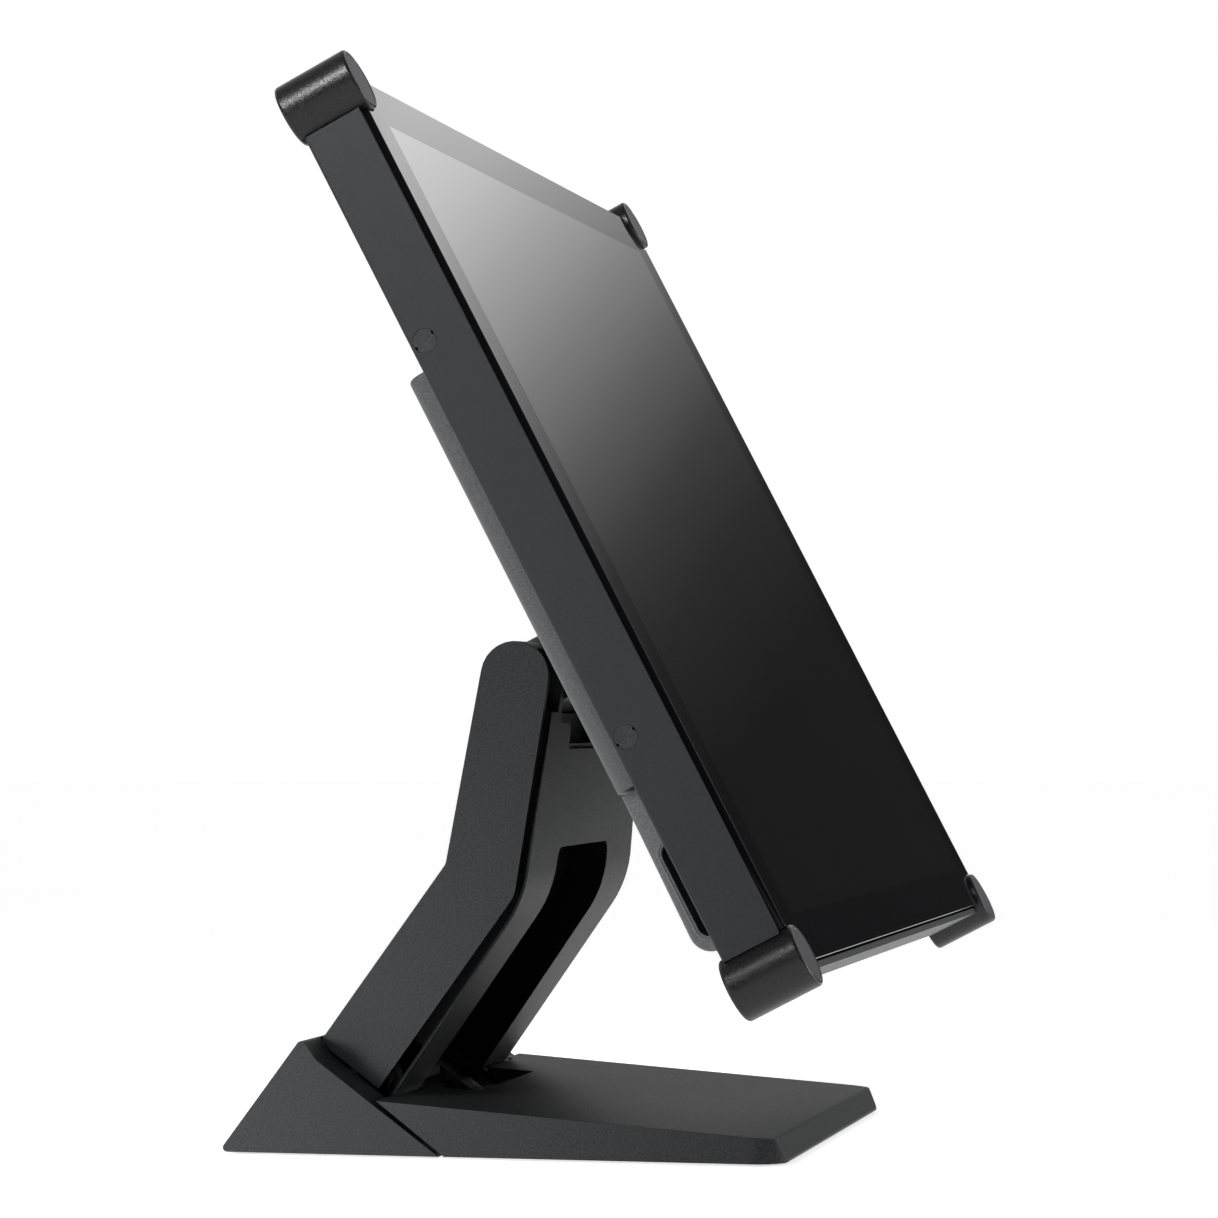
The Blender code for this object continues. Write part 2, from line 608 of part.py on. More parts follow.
def make_arm_shell(arm):
    rear, front = arm_rear_line(), arm_front_line()
    corners = [(*rear[0], 0), (*rear[1], 4)]
    top = arc(TILT_AXIS, ARM_TOP_RADIUS, 9, 189, 14)
    corners += [(p.x, p.y, 0) for p in top] + [(*front[1], 8), (*front[0], 0)]
    shell = side_prism("arm_rear_shell", rounded(corners), -ARM_HALF, ARM_HALF, "black_plastic", arm)
    wall = ARM_WALL
    inner_rear = offset(stretched(rear, 8), wall)
    ahead = offset(stretched(front, 8), 6)
    level = FORK_BOTTOM - 4
    cavity = [(p.x, p.y, r) for p, r in zip(inner_rear[:2], (0, 3))]
    cavity += [(25.5, level, 0), (-4.0, level, 0), (*ahead[1], 4), (*ahead[0], 0)]
    inside = ARM_HALF - wall
    cut(shell, side_prism("arm_cavity", rounded(cavity), -inside, inside, None, arm))
    crown = arc(TILT_AXIS, EAR_CAVITY_RADIUS, 9, 90, 8)
    ear = [(25.5, level - 4, 0)] + [(p.x, p.y, 0) for p in crown]
    ear += [(-4.0, TILT_AXIS[1] + EAR_CAVITY_RADIUS, 0), (-4.0, level - 4, 0)]
    for side, name in ((-1, "left"), (1, "right")):
        x0, x1 = sorted((side * (EAR_INNER + EAR_WALL), side * inside))
        cut(shell, side_prism("ear_cavity_" + name, rounded(ear), x0, x1, None, arm))
    mouth = [(-10, FORK_SILL, 0), (TILT_AXIS[0], FORK_SILL, 0), (TILT_AXIS[0], TILT_AXIS[1], 0)]
    mouth += [(40, TILT_AXIS[1], 0), (40, 160, 0), (-10, 160, 0)]
    cut(shell, side_prism("fork_mouth", rounded(mouth), -EAR_INNER, EAR_INNER, None, arm))
    radius = ARM_TOP_RADIUS + SEAT_CLEARANCE
    seat = [(radius, -EAR_INNER), (radius, EAR_INNER)]
    y, z = TILT_AXIS[0] - FOLD_AXIS[0], TILT_AXIS[1] - FOLD_AXIS[1]
    cut(shell, cross_pin("fork_seat", y, z, seat, None, arm, 32))
    radius = BORE_RADIUS + SEAT_CLEARANCE
    bore = [(radius, -EAR_INNER - 6), (radius, EAR_INNER + 6)]
    cut(shell, cross_pin("ear_bore", y, z, bore, None, arm))


def band(line, near, far, radius=0.0):
    """The closed outline between two offsets of a line."""
    first = knee(offset(line, near), radius)
    second = knee(offset(line, far), radius)
    return rounded(first + second[::-1])


def half_at(table, z):
    """The half width at a height, from (height, half width) rows."""
    for (low, first), (high, second) in zip(table, table[1:]):
        if z <= high:
            return first + (second - first) * (z - low) / (high - low)
    return table[-1][1]


def cover_points(depth, foot=0.0, top=None):
    """Points down to a depth behind the arm's front line, from foot to top, round at the knee."""
    line = offset(stretched(cover_line(), foot), -depth)
    if top is not None:
        share = (top - line[1].y) / (line[2].y - line[1].y)
        line[2] = line[1].lerp(line[2], share)
    return rounded(knee(line, COVER_KNEE_RADIUS - depth), 6)


def ribbon(name, layers, finish, arm):
    """A solid along the arm: each layer is (points from foot to top, half width at each point)."""
    mesh_data = bmesh.new()
    rings = []
    for k in range(len(layers[0][0])):
        ring = [(half[k], points[k]) for points, half in layers]
        ring += [(-half[k], points[k]) for points, half in reversed(layers)]
        places = [(x, p.x - arm["axis"][0], p.y - arm["axis"][1]) for x, p in ring]
        rings.append([mesh_data.verts.new(Vector(place) * MM) for place in places])
    count = len(rings[0])
    for first, second in zip(rings, rings[1:]):
        for i in range(count):
            j = (i + 1) % count
            mesh_data.faces.new((first[i], first[j], second[j], second[i]))
    mesh_data.faces.new(rings[0])
    mesh_data.faces.new(rings[-1])
    bmesh.ops.triangulate(mesh_data, faces=mesh_data.faces)
    return finish_object(name, mesh_data, finish, arm)


def halves(table, points, less=0.0):
    return [half_at(table, point.y) - less for point in points]


def make_arm_cover(arm):
    """Front skin of the arm, standing off the cheeks, with the cable trough let into it."""
    front, lip, back = cover_points(0), cover_points(COVER_LIP), cover_points(COVER_SKIN)
    widths = halves(COVER_HALF, front)
    narrow = [half - COVER_UNDERCUT for half in widths]
    layers = [(front, widths), (lip, widths), (back, narrow)]
    cover = ribbon("arm_front_cover", layers, "black_plastic", arm)
    line = cover_line()
    for side, name in ((-1, "left"), (1, "right")):
        x0, x1 = sorted((side * RIB_INNER, side * RIB_OUTER))
        rib = band(stretched(line, -15), -COVER_SKIN * 0.5, -6, 27)
        add(cover, side_prism("cover_rib_" + name, rib, x0, x1, None, arm))
    near = cover_points(COVER_SKIN * 0.5, 0, CHANNEL_TOP + 2)
    far = cover_points(CHANNEL_DEPTH + TROUGH_SKIN, 0, CHANNEL_TOP + 2)
    reach = halves(CHANNEL_HALF, near, -TROUGH_SKIN)
    add(cover, ribbon("trough", [(near, reach), (far, reach)], None, arm))
    near, far = cover_points(-4, 6, CHANNEL_TOP), cover_points(CHANNEL_DEPTH, 6, CHANNEL_TOP)
    reach = halves(CHANNEL_HALF, near)
    cut(cover, ribbon("channel", [(near, reach), (far, reach)], None, arm))
    window = rectangle(-12, 14, FORK_BOTTOM, 140)
    cut(cover, side_prism("cover_window", window, -WINDOW_HALF, WINDOW_HALF, None, arm))
    fork = rectangle(-12, 14, WINDOW_TOP, 140)
    reach = EAR_INNER + EAR_WALL + GAP
    cut(cover, side_prism("cover_fork", fork, -reach, reach, None, arm))


def clipped_band(line, near, far, top):
    """A band whose upper end is level at a height."""
    corners = []
    for distance, order in ((near, 1), (far, -1)):
        points = offset(line, distance)
        share = (top - points[1].y) / (points[2].y - points[1].y)
        end = points[1].lerp(points[2], share)
        corners += [(*points[0], 0), (*points[1], 8), (*end, 0)][::order]
    return rounded(corners)


def make_arm_frame(arm):
    """Steel frame inside the arm: two flanges with a pin hole at each hinge, and a web behind."""
    rear = arm_rear_line()
    flange_top = offset(rear, 2.6)
    y_tilt, z_tilt = TILT_AXIS[0] - FOLD_AXIS[0], TILT_AXIS[1] - FOLD_AXIS[1]
    web = clipped_band(stretched(rear, -12), 2.9, 4.9, FORK_BOTTOM - 8)
    reach = FRAME_OUTER - 1
    frame = side_prism("arm_frame", web, -reach, reach, "steel", arm)
    strip = [(*flange_top[0], 0), (*flange_top[1], 3), (*flange_top[2], 0)]
    strip += [(*p, r) for p, r in zip(offset(rear, 13)[::-1], (0, 4, 0))]
    for side, name in ((-1, "left"), (1, "right")):
        x0, x1 = sorted((side * FRAME_INNER, side * FRAME_OUTER))
        add(frame, side_prism("flange_" + name, rounded(strip[:]), x0, x1, None, arm))
        for label, y, z, radius in (("fold", 0, 0, EYE_RADIUS), ("tilt", y_tilt, z_tilt, LUG_RADIUS)):
            eye = [(radius, x0 - 0.2), (radius, x1 + 0.2)]
            hole = [(BORE_RADIUS, x0 - 1), (BORE_RADIUS, x1 + 1)]
            add(frame, cross_pin(label + "_eye_" + name, y, z, eye, None, arm))
            cut(frame, cross_pin(label + "_hole_" + name, y, z, hole, None, arm))


def make_arm():
    arm = make_empty("arm_axis", (0, FOLD_AXIS[0], FOLD_AXIS[1]), 0, None)
    arm["axis"] = FOLD_AXIS
    make_arm_shell(arm)
    make_arm_cover(arm)
    make_arm_frame(arm)


# ---- base -----------------------------------------------------------------------------------------


def seam_height(y, below=0.0):
    """Height of the slanted seam plane at y, or of a plane this far below it."""
    return SEAM_SLOPE * (y - SEAM_FOOT) - below * math.hypot(1, SEAM_SLOPE)


def make_rear_base(steel_space):
    """Wedge at the back; its slanted face is recessed for the arm's foot."""
    toe = (SEAM_FOOT + BASE_UNDER / SEAM_SLOPE, BASE_UNDER)
    corners = [(*WEDGE_REAR, 1.2), (*WEDGE_APEX, 1.2), (*WEDGE_RIM, 0), (*toe, 0)]
    wedge = side_prism(
        "base_rear_cover", rounded(corners), -BASE_HALF, BASE_HALF, "black_plastic"
    )
    floor = RECESS_DEPTH + 2.0
    hollow = [(88.8, -2), (69.0, seam_height(69.0, floor) + 0.4), (67.0, seam_height(67.0, floor))]
    hollow += [(SEAM_FOOT + 9, seam_height(SEAM_FOOT + 9, floor)), (SEAM_FOOT + 9, -2)]
    inside = BASE_HALF - BASE_WALL
    cut(wedge, side_prism("wedge_hollow", hollow, -inside, inside))
    back = offset([ARM_FOOT_REAR, ARM_KNEE_REAR], -0.5)
    heel = back[0] + (back[0] - back[1]).normalized() * 1.2
    recess = [heel, back[1], (30, 60), (30, seam_height(30)), (34.5, seam_height(34.5))]
    recess += [(36, seam_height(36, RECESS_DEPTH)), (66.0, seam_height(66.0, RECESS_DEPTH))]
    cut(wedge, side_prism("wedge_recess", recess, -RECESS_HALF, RECESS_HALF))
    for side, name in ((-1, "left"), (1, "right")):
        x0, x1 = sorted((side * (LUG_INNER - 4), side * (FRAME_OUTER + 7.5)))
        slot = rectangle(45.0, 64.5, 8, 40)
        cut(wedge, side_prism("hinge_slot_" + name, slot, x0, x1))
    passage = rectangle(-CABLE_PASS_HALF, CABLE_PASS_HALF, CABLE_PASS_FRONT, CABLE_PASS_REAR)
    notch = rectangle(-CABLE_EXIT_HALF, CABLE_EXIT_HALF, 70, 100)
    cut(wedge, plan_prism("cable_pass", passage, 0, 30))
    cut(wedge, plan_prism("cable_exit", notch, -2, CABLE_EXIT_TOP), steel_space)


def make_front_base(steel_space):
    """Long low cover in front of the seam, open where the arm's foot and the cables pass."""
    toe = (SEAM_FOOT - 1.5 + BASE_UNDER / SEAM_SLOPE, BASE_UNDER)
    corners = [(*PLATE_TIP, 0), (*PLATE_FRONT_TOP, 1.0), (*PLATE_FRONT_FOOT, 0.8), (*toe, 0)]
    cover = side_prism(
        "base_front_cover", rounded(corners), -BASE_HALF, BASE_HALF, "black_plastic"
    )
    half = BASE_HALF
    plan = [(half, 60, 0), (-half, 60, 0), (-half, PLATE_FRONT_FOOT[0], 10)]
    plan += [(half, PLATE_FRONT_FOOT[0], 10)]
    combine(cover, plan_prism("front_plan", rounded(plan, 6), -5, 30), "INTERSECT")
    hollow = [(40.0, 12.9), (-60.5, 5.5), (-61.5, -2), (30.5, -2), (30.5, 5.4)]
    cut(cover, side_prism("front_hollow", hollow, -half + BASE_WALL, half - BASE_WALL))
    behind = plan_prism(
        "foot_clearance", rectangle(-RECESS_HALF, RECESS_HALF, FOOT_CLEARANCE_Y, 60), -3, 30
    )
    opening = rectangle(-POCKET_HALF, POCKET_HALF, POCKET_FRONT, 60)
    pocket = plan_prism("cable_pocket", opening, POCKET_FLOOR, 30)
    cut(cover, behind, pocket, steel_space)


def make_steel_base():
    outline = rectangle(-STEEL_HALF, STEEL_HALF, STEEL_FRONT, STEEL_REAR, 6)
    plan_prism("base_plate", outline, STEEL_LOW, STEEL_HIGH, "steel")
    for side, name in ((-1, "left"), (1, "right")):
        x0, x1 = sorted((side * LUG_INNER, side * LUG_OUTER))
        low = STEEL_HIGH + GAP
        back = FOLD_AXIS[0] + EYE_RADIUS
        lug = [Vector((back, low)), Vector((back, FOLD_AXIS[1]))]
        lug += arc(FOLD_AXIS, EYE_RADIUS, 10, 195, 10)
        lug += [Vector((FOLD_AXIS[0] - 3.4, FOLD_AXIS[1] - 5.0)), Vector((FOLD_AXIS[0] - 3.4, low))]
        bracket = side_prism("base_lug_" + name, lug, x0, x1, "steel")
        foot0, foot1 = sorted((side * 28, side * (LUG_INNER + 1)))
        foot = rectangle(FOLD_AXIS[0] - 2.4, FOLD_AXIS[0] + 14, low, low + 2.5)
        add(bracket, side_prism("lug_foot_" + name, foot, foot0, foot1))
        hole = [(BORE_RADIUS, x0 - 1), (BORE_RADIUS, x1 + 1)]
        cut(bracket, cross_pin("lug_hole_" + name, *FOLD_AXIS, hole, None, None))


def make_feet():
    for x in (-FOOT_X, FOOT_X):
        for y in (FOOT_FRONT, FOOT_BACK):
            name = "foot_" + ("front" if y < 0 else "rear") + ("_left" if x < 0 else "_right")
            profile = [(FOOT_RADIUS, 0), (FOOT_RADIUS, FOOT_HEIGHT)]
            turned(name, profile, lambda a, b, z: (x + a, y + b, z), "rubber", None)


def make_base():
    space = rectangle(-STEEL_HALF - GAP, STEEL_HALF + GAP, STEEL_FRONT - GAP, STEEL_REAR + GAP, 6)
    steel_space = plan_prism("steel_space", space, -6, STEEL_HIGH + GAP)
    make_rear_base(steel_space)
    make_front_base(steel_space)
    make_steel_base()
    make_feet()
    fold = make_empty("fold_axis", (0, FOLD_AXIS[0], FOLD_AXIS[1]), 0, None)
    make_hinge_pins(fold, "fold", LUG_INNER, False)


def main():
    clear_scene()
    make_base()
    make_arm()
    make_display()


main()
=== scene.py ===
"""Touch-screen till display on a bent-arm stand: pieces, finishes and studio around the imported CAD.

Lengths in the modelling calls are millimetres. The display is modelled flat (x across, y the depth
behind the front of the glass, z the height above the middle of the screen) and then put where it stands.
"""

import json
import math
from contextlib import contextmanager

import bmesh
import bpy
from bpy.props import FloatProperty, FloatVectorProperty, IntProperty, PointerProperty
from mathutils import Matrix, Vector

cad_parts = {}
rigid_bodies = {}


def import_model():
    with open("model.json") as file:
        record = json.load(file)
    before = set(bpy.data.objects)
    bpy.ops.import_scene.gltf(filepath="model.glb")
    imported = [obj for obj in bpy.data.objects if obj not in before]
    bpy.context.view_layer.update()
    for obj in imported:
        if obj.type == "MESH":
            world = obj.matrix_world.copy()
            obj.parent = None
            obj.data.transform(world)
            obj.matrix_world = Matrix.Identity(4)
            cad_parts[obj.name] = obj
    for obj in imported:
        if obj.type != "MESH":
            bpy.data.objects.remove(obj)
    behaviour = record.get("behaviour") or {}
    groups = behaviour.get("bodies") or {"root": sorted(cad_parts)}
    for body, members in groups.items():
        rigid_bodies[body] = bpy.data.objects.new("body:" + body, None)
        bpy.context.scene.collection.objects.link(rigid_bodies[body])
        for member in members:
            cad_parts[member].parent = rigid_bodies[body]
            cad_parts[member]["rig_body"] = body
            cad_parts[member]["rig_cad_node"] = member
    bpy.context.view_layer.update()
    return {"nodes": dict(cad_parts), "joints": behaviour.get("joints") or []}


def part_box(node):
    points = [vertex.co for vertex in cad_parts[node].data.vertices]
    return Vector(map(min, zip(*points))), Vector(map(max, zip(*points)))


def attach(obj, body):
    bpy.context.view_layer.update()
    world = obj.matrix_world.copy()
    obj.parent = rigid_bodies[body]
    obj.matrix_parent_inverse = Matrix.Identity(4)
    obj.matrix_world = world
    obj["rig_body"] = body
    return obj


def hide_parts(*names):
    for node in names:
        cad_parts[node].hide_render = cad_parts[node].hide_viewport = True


bl_info = {
    "name": "Till display on a bent-arm stand",
    "version": (1, 0, 0),
    "blender": (4, 5, 0),
    "location": "View3D > Sidebar > Till Display",
    "description": "Builds the detailed display, arm, base and studio around the packed model",
    "category": "Object",
}

MM = 0.001
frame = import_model()
JOINTS = {joint["name"]: joint for joint in frame["joints"]}

TILT_AXIS = Vector(JOINTS["display_tilt"]["pos_m"])
KEY_AXIS = Vector(JOINTS["power_key_press"]["axis"])
LEAN = math.atan2(KEY_AXIS.z, -KEY_AXIS.y)
LEFT_RIGHT = (("left", -1), ("right", 1))
LEVELS = (("upper", 1), ("lower", -1))

# Flat display in millimetres: half sizes across and up, and depths behind the front of the glass
AXIS_DEPTH, AXIS_HEIGHT = 55.3, -16.8
GLASS_SIDE, GLASS_END, GLASS_BACK = 167.5, 127, 2.8
HOUSING_SIDE, HOUSING_END, HOUSING_WALL = 169.5, 129.1, 1.7
HOUSING_FRONT, HOUSING_BACK, HOUSING_HOLLOW = 1.8, 18, 14.5
CAP_MIDDLE, CAP_RADIUS, CAP_LENGTH, CAP_NOTCH = 9.1, 8.5, 21, 8.8
PLUG_DEPTH, PLUG_HEIGHT, PLUG_RADIUS, PLUG_HOLE = 13.9, 56.6, 3.1, 3.16
HUMP_FRONT, HUMP_BACK, HUMP_WALL = 18.3, 28.5, 2.0
REAR_COVER_SIDE, REAR_COVER_LOW, REAR_COVER_HIGH = 144, -66.2, 55.0
CABLE_COVER_SIDE, CABLE_COVER_LOW, CABLE_COVER_HIGH, CABLE_COVER_STEP = 141, -113.5, -67.0, 0.7
OUTLET_MIDDLE, OUTLET_HALF, OUTLET_RADIUS = (22.3, -96.25), 13.25, 3.1
VENT_PITCH, VENT_HEIGHT, VENT_HALF, VENT_RADIUS = 11.0, 42.0, 6.0, 1.1
KEYS = ("power_key", "menu_key_1", "menu_key_2", "menu_key_3", "menu_key_4")
KEY_HOLE = 3.25
NECK_HALF, NECK_LOW, NECK_HIGH, NECK_FRONT, NECK_BACK = 41, -26.6, -7.0, 31.6, 65.1

# Stand in millimetres: half widths, and the line of the arm's front cover in (y, z)
ARM_SIDE, BASE_SIDE = 64, 82
COVER_KNEE_Y, COVER_KNEE_Z, COVER_LOWER_SLOPE, COVER_UPPER_SLOPE = 9.04, 70.6, 0.691, 0.114
CHANNEL_HALF, CHANNEL_TOP, COVER_SKIN = 37, 84.5, 0.9
ARM_KNEE_Z = 80.0


# ---- places ---------------------------------------------------------------------------------------


def flat_frame():
    """From the flat display (x, depth behind the glass, height above its middle) to where it stands."""
    turn = Matrix.Rotation(-LEAN, 4, "X")
    axis_in_display = Vector((0, AXIS_DEPTH * MM, AXIS_HEIGHT * MM))
    return Matrix.Translation(TILT_AXIS) @ turn @ Matrix.Translation(-axis_in_display)


def to_display(point):
    return flat_frame().inverted() @ Vector(point)


# ---- modelling ------------------------------------------------------------------------------------


def only(obj):
    bpy.ops.object.select_all(action="DESELECT")
    obj.hide_set(False)
    obj.select_set(True)
    bpy.context.view_layer.objects.active = obj
    return obj


def settle(obj, matrix=None):
    """Moves the object by the matrix and puts its place into its mesh."""
    if matrix is not None:
        obj.matrix_world = matrix @ obj.matrix_world
    only(obj)
    bpy.ops.object.transform_apply(location=True, rotation=True, scale=True)
    return obj


def block(name, low, high):
    """A box between two corners in millimetres."""
    low, high = Vector(low) * MM, Vector(high) * MM
    bpy.ops.object.select_all(action="DESELECT")
    bpy.ops.mesh.primitive_cube_add(size=1, location=(low + high) / 2, scale=high - low)
    bpy.context.active_object.name = name
    return settle(bpy.context.active_object)


def rod(name, centre, axis, radius, length, steps=64):
    """A cylinder along X, Y or Z, in millimetres."""
    turn = {"X": (0, math.pi / 2, 0), "Y": (math.pi / 2, 0, 0), "Z": (0, 0, 0)}[axis]
    bpy.ops.object.select_all(action="DESELECT")
    bpy.ops.mesh.primitive_cylinder_add(
        vertices=steps, radius=radius * MM, depth=length * MM,
        location=Vector(centre) * MM, rotation=turn,
    )
    bpy.context.active_object.name = name
    return settle(bpy.context.active_object)


@contextmanager
def shaping(obj):
    """Edit mode with nothing selected."""
    only(obj)
    bpy.ops.object.mode_set(mode="EDIT")
    bpy.ops.mesh.select_mode(type="FACE")
    bpy.ops.mesh.select_all(action="DESELECT")
    yield obj
    bpy.ops.object.mode_set(mode="OBJECT")


def pick_faces(obj, test):
    """Selects the faces whose middle (in millimetres) and normal pass the test."""
    bpy.ops.mesh.select_mode(type="FACE")
    bpy.ops.mesh.select_all(action="DESELECT")
    mesh = bmesh.from_edit_mesh(obj.data)
    for face in mesh.faces:
        face.select_set(bool(test(face.calc_center_median() / MM, face.normal)))
    mesh.select_flush_mode()
    bmesh.update_edit_mesh(obj.data)


def pick_edges(obj, test):
    """Selects the edges whose middle, direction and angle between faces pass the test."""
    bpy.ops.mesh.select_mode(type="EDGE")
    bpy.ops.mesh.select_all(action="DESELECT")
    mesh = bmesh.from_edit_mesh(obj.data)
    for edge in mesh.edges:
        first, second = (vert.co for vert in edge.verts)
        middle, way = (first + second) / 2 / MM, (second - first).normalized()
        bend = edge.calc_face_angle(0.0)
        edge.select_set(bool(test(middle, way, bend)))
    mesh.select_flush_mode()
    bmesh.update_edit_mesh(obj.data)


def bevel_edges(obj, test, width, segments=3, profile=0.5):
    with shaping(obj):
        pick_edges(obj, test)
        bpy.ops.mesh.bevel(
            offset=width * MM, segments=segments, profile=profile, affect="EDGES",
            clamp_overlap=True,
        )
    return obj


def apply_modifiers(obj):
    only(obj)
    for modifier in list(obj.modifiers):
        bpy.ops.object.modifier_apply(modifier=modifier.name)
    return obj


def carve(obj, *cutters, operation="DIFFERENCE"):
    for cutter in cutters:
        modifier = obj.modifiers.new(operation.lower(), "BOOLEAN")
        modifier.operation = operation
        modifier.solver = "EXACT"
        modifier.object = cutter
        apply_modifiers(obj)
        bpy.data.objects.remove(cutter, do_unlink=True)
    return obj


def soften(obj, width, segments=2, angle=32):
    """Rounds every edge sharper than the angle."""
    modifier = obj.modifiers.new("soft edges", "BEVEL")
    modifier.width = width * MM
    modifier.segments = segments
    modifier.limit_method = "ANGLE"
    modifier.angle_limit = math.radians(angle)
    modifier.use_clamp_overlap = True
    modifier.harden_normals = False
    return apply_modifiers(obj)


def smooth(obj, angle=35):
    """Smooth shading that keeps flat faces flat beside their rounded edges."""
    only(obj)
    bpy.ops.object.shade_smooth_by_angle(angle=math.radians(angle))
    modifier = obj.modifiers.new("flat faces", "WEIGHTED_NORMAL")
    modifier.keep_sharp = True
    modifier.weight = 100
    return apply_modifiers(obj)


def copied(obj, name, matrix=None):
    """A copy with its own mesh, moved by the matrix."""
    only(obj)
    bpy.ops.object.duplicate()
    twin = bpy.context.active_object
    twin.name = name
    return settle(twin, matrix)


def from_node(node, name):
    """A merged copy of a CAD node, to be worked on."""
    source = frame["nodes"][node]
    twin = copied(source, name)
    twin.parent = None
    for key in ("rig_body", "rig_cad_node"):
        if key in twin:
            del twin[key]
    twin.data.materials.clear()
    with shaping(twin):
        bpy.ops.mesh.select_all(action="SELECT")
        bpy.ops.mesh.remove_doubles(threshold=0.00001)
        bpy.ops.mesh.customdata_custom_splitnormals_clear()
        bpy.ops.mesh.dissolve_limited(angle_limit=math.radians(0.6))
    return twin


def paint(obj, *materials):
    obj.data.materials.clear()
    for material in materials:
        obj.data.materials.append(material)
    return obj


def paint_faces(obj, index, test):
    """Gives the faces whose middle (in millimetres) and normal pass the test another finish."""
    for polygon in obj.data.polygons:
        if test(polygon.center / MM, polygon.normal):
            polygon.material_index = index
    return obj


def finish_piece(obj, body, slot, nodes, *materials):
    """Paints the piece, lets it ride on its body and hides the CAD nodes it stands for."""
    if materials:
        paint(obj, *materials)
    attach(obj, body)
    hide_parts(*nodes)
    return obj


def stadium(name, centre, half_length, radius, x0, x1):
    """A long round-ended bar along X; its section is long in the height direction."""
    middle = ((x0 + x1) / 2, centre[0], centre[1])
    bar = rod(name, middle, "X", radius, abs(x1 - x0), 48)
    stretch = (half_length - radius) * MM
    with shaping(bar):
        bpy.ops.mesh.select_mode(type="VERT")
        mesh = bmesh.from_edit_mesh(bar.data)
        above = centre[1] * MM
        for vert in mesh.verts:
            vert.select_set(vert.co.z > above + 0.00001)
        mesh.select_flush_mode()
        bmesh.update_edit_mesh(bar.data)
        bpy.ops.transform.translate(value=(0, 0, stretch))
        bpy.ops.mesh.select_all(action="INVERT")
        bpy.ops.transform.translate(value=(0, 0, -stretch))
    return bar


# ---- finishes -------------------------------------------------------------------------------------


def nodes_of(material):
    material.use_nodes = True
    tree = material.node_tree
    shader = tree.nodes["Principled BSDF"]
    return tree, shader


def add_node(tree, kind, **settings):
    node = tree.nodes.new(kind)
    for key, value in settings.items():
        setattr(node, key, value)
    return node


def object_coordinates(tree):
    return add_node(tree, "ShaderNodeTexCoord").outputs["Object"]


def noise(tree, where, scale, detail=2.0, roughness=0.5):
    texture = add_node(tree, "ShaderNodeTexNoise")
    texture.inputs["Scale"].default_value = scale
    texture.inputs["Detail"].default_value = detail
    texture.inputs["Roughness"].default_value = roughness
    tree.links.new(where, texture.inputs["Vector"])
    return texture.outputs["Fac"]


def remap(tree, value, low, high, to_low, to_high):
    node = add_node(tree, "ShaderNodeMapRange")
    limits = {"From Min": low, "From Max": high, "To Min": to_low, "To Max": to_high}
    for socket, number in limits.items():
        node.inputs[socket].default_value = number
    tree.links.new(value, node.inputs["Value"])
    return node.outputs["Result"]


def blend_colours(tree, share, first, second):
    node = add_node(tree, "ShaderNodeMix", data_type="RGBA")
    tree.links.new(share, node.inputs["Factor"])
    for socket, colour in ((6, first), (7, second)):
        if hasattr(colour, "is_output"):
            tree.links.new(colour, node.inputs[socket])
        else:
            node.inputs[socket].default_value = (*colour, 1)
    return node.outputs[2]


def bump(tree, height, strength, distance_mm):
    node = add_node(tree, "ShaderNodeBump")
    node.inputs["Strength"].default_value = strength
    node.inputs["Distance"].default_value = distance_mm * MM
    tree.links.new(height, node.inputs["Height"])
    return node.outputs["Normal"]


def shade(colour, factor):
    return tuple(min(1.0, part * factor) for part in colour)


def moulded_plastic(
    name, colour, roughness, grain=0.25, grain_scale=2600, contrast=0.35, index=1.45
):
    """Spark-eroded mould texture: fine even grain with slow changes in colour and gloss."""
    material = bpy.data.materials.new(name)
    tree, shader = nodes_of(material)
    where = object_coordinates(tree)
    fine = noise(tree, where, grain_scale, 2.0, 0.6)
    broad = noise(tree, where, 22, 3.0, 0.5)
    speck = remap(tree, fine, 0.35, 0.65, 0.0, 1.0)
    slow = remap(tree, broad, 0.3, 0.7, 0.0, 1.0)
    base = blend_colours(tree, speck, shade(colour, 1 - contrast), shade(colour, 1 + contrast))
    tint = blend_colours(tree, remap(tree, slow, 0, 1, 0, 0.3), base, shade(colour, 1.1))
    tree.links.new(tint, shader.inputs["Base Color"])
    gloss = remap(tree, fine, 0.3, 0.7, roughness - 0.07, roughness + 0.07)
    tree.links.new(gloss, shader.inputs["Roughness"])
    tree.links.new(bump(tree, fine, grain, 0.12), shader.inputs["Normal"])
    shader.inputs["IOR"].default_value = index
    return material


def screen_glass(name, low, high, haze, index):
    """Smooth glass over black, with faint wiping marks in its gloss."""
    material = bpy.data.materials.new(name)
    tree, shader = nodes_of(material)
    where = object_coordinates(tree)
    smear = noise(tree, where, 9, 4.0, 0.55)
    tint = blend_colours(tree, remap(tree, smear, 0.3, 0.7, 0, 1), low, high)
    tree.links.new(tint, shader.inputs["Base Color"])
    gloss = remap(tree, smear, 0.3, 0.7, haze - 0.01, haze + 0.015)
    tree.links.new(gloss, shader.inputs["Roughness"])
    shader.inputs["IOR"].default_value = index
    return material


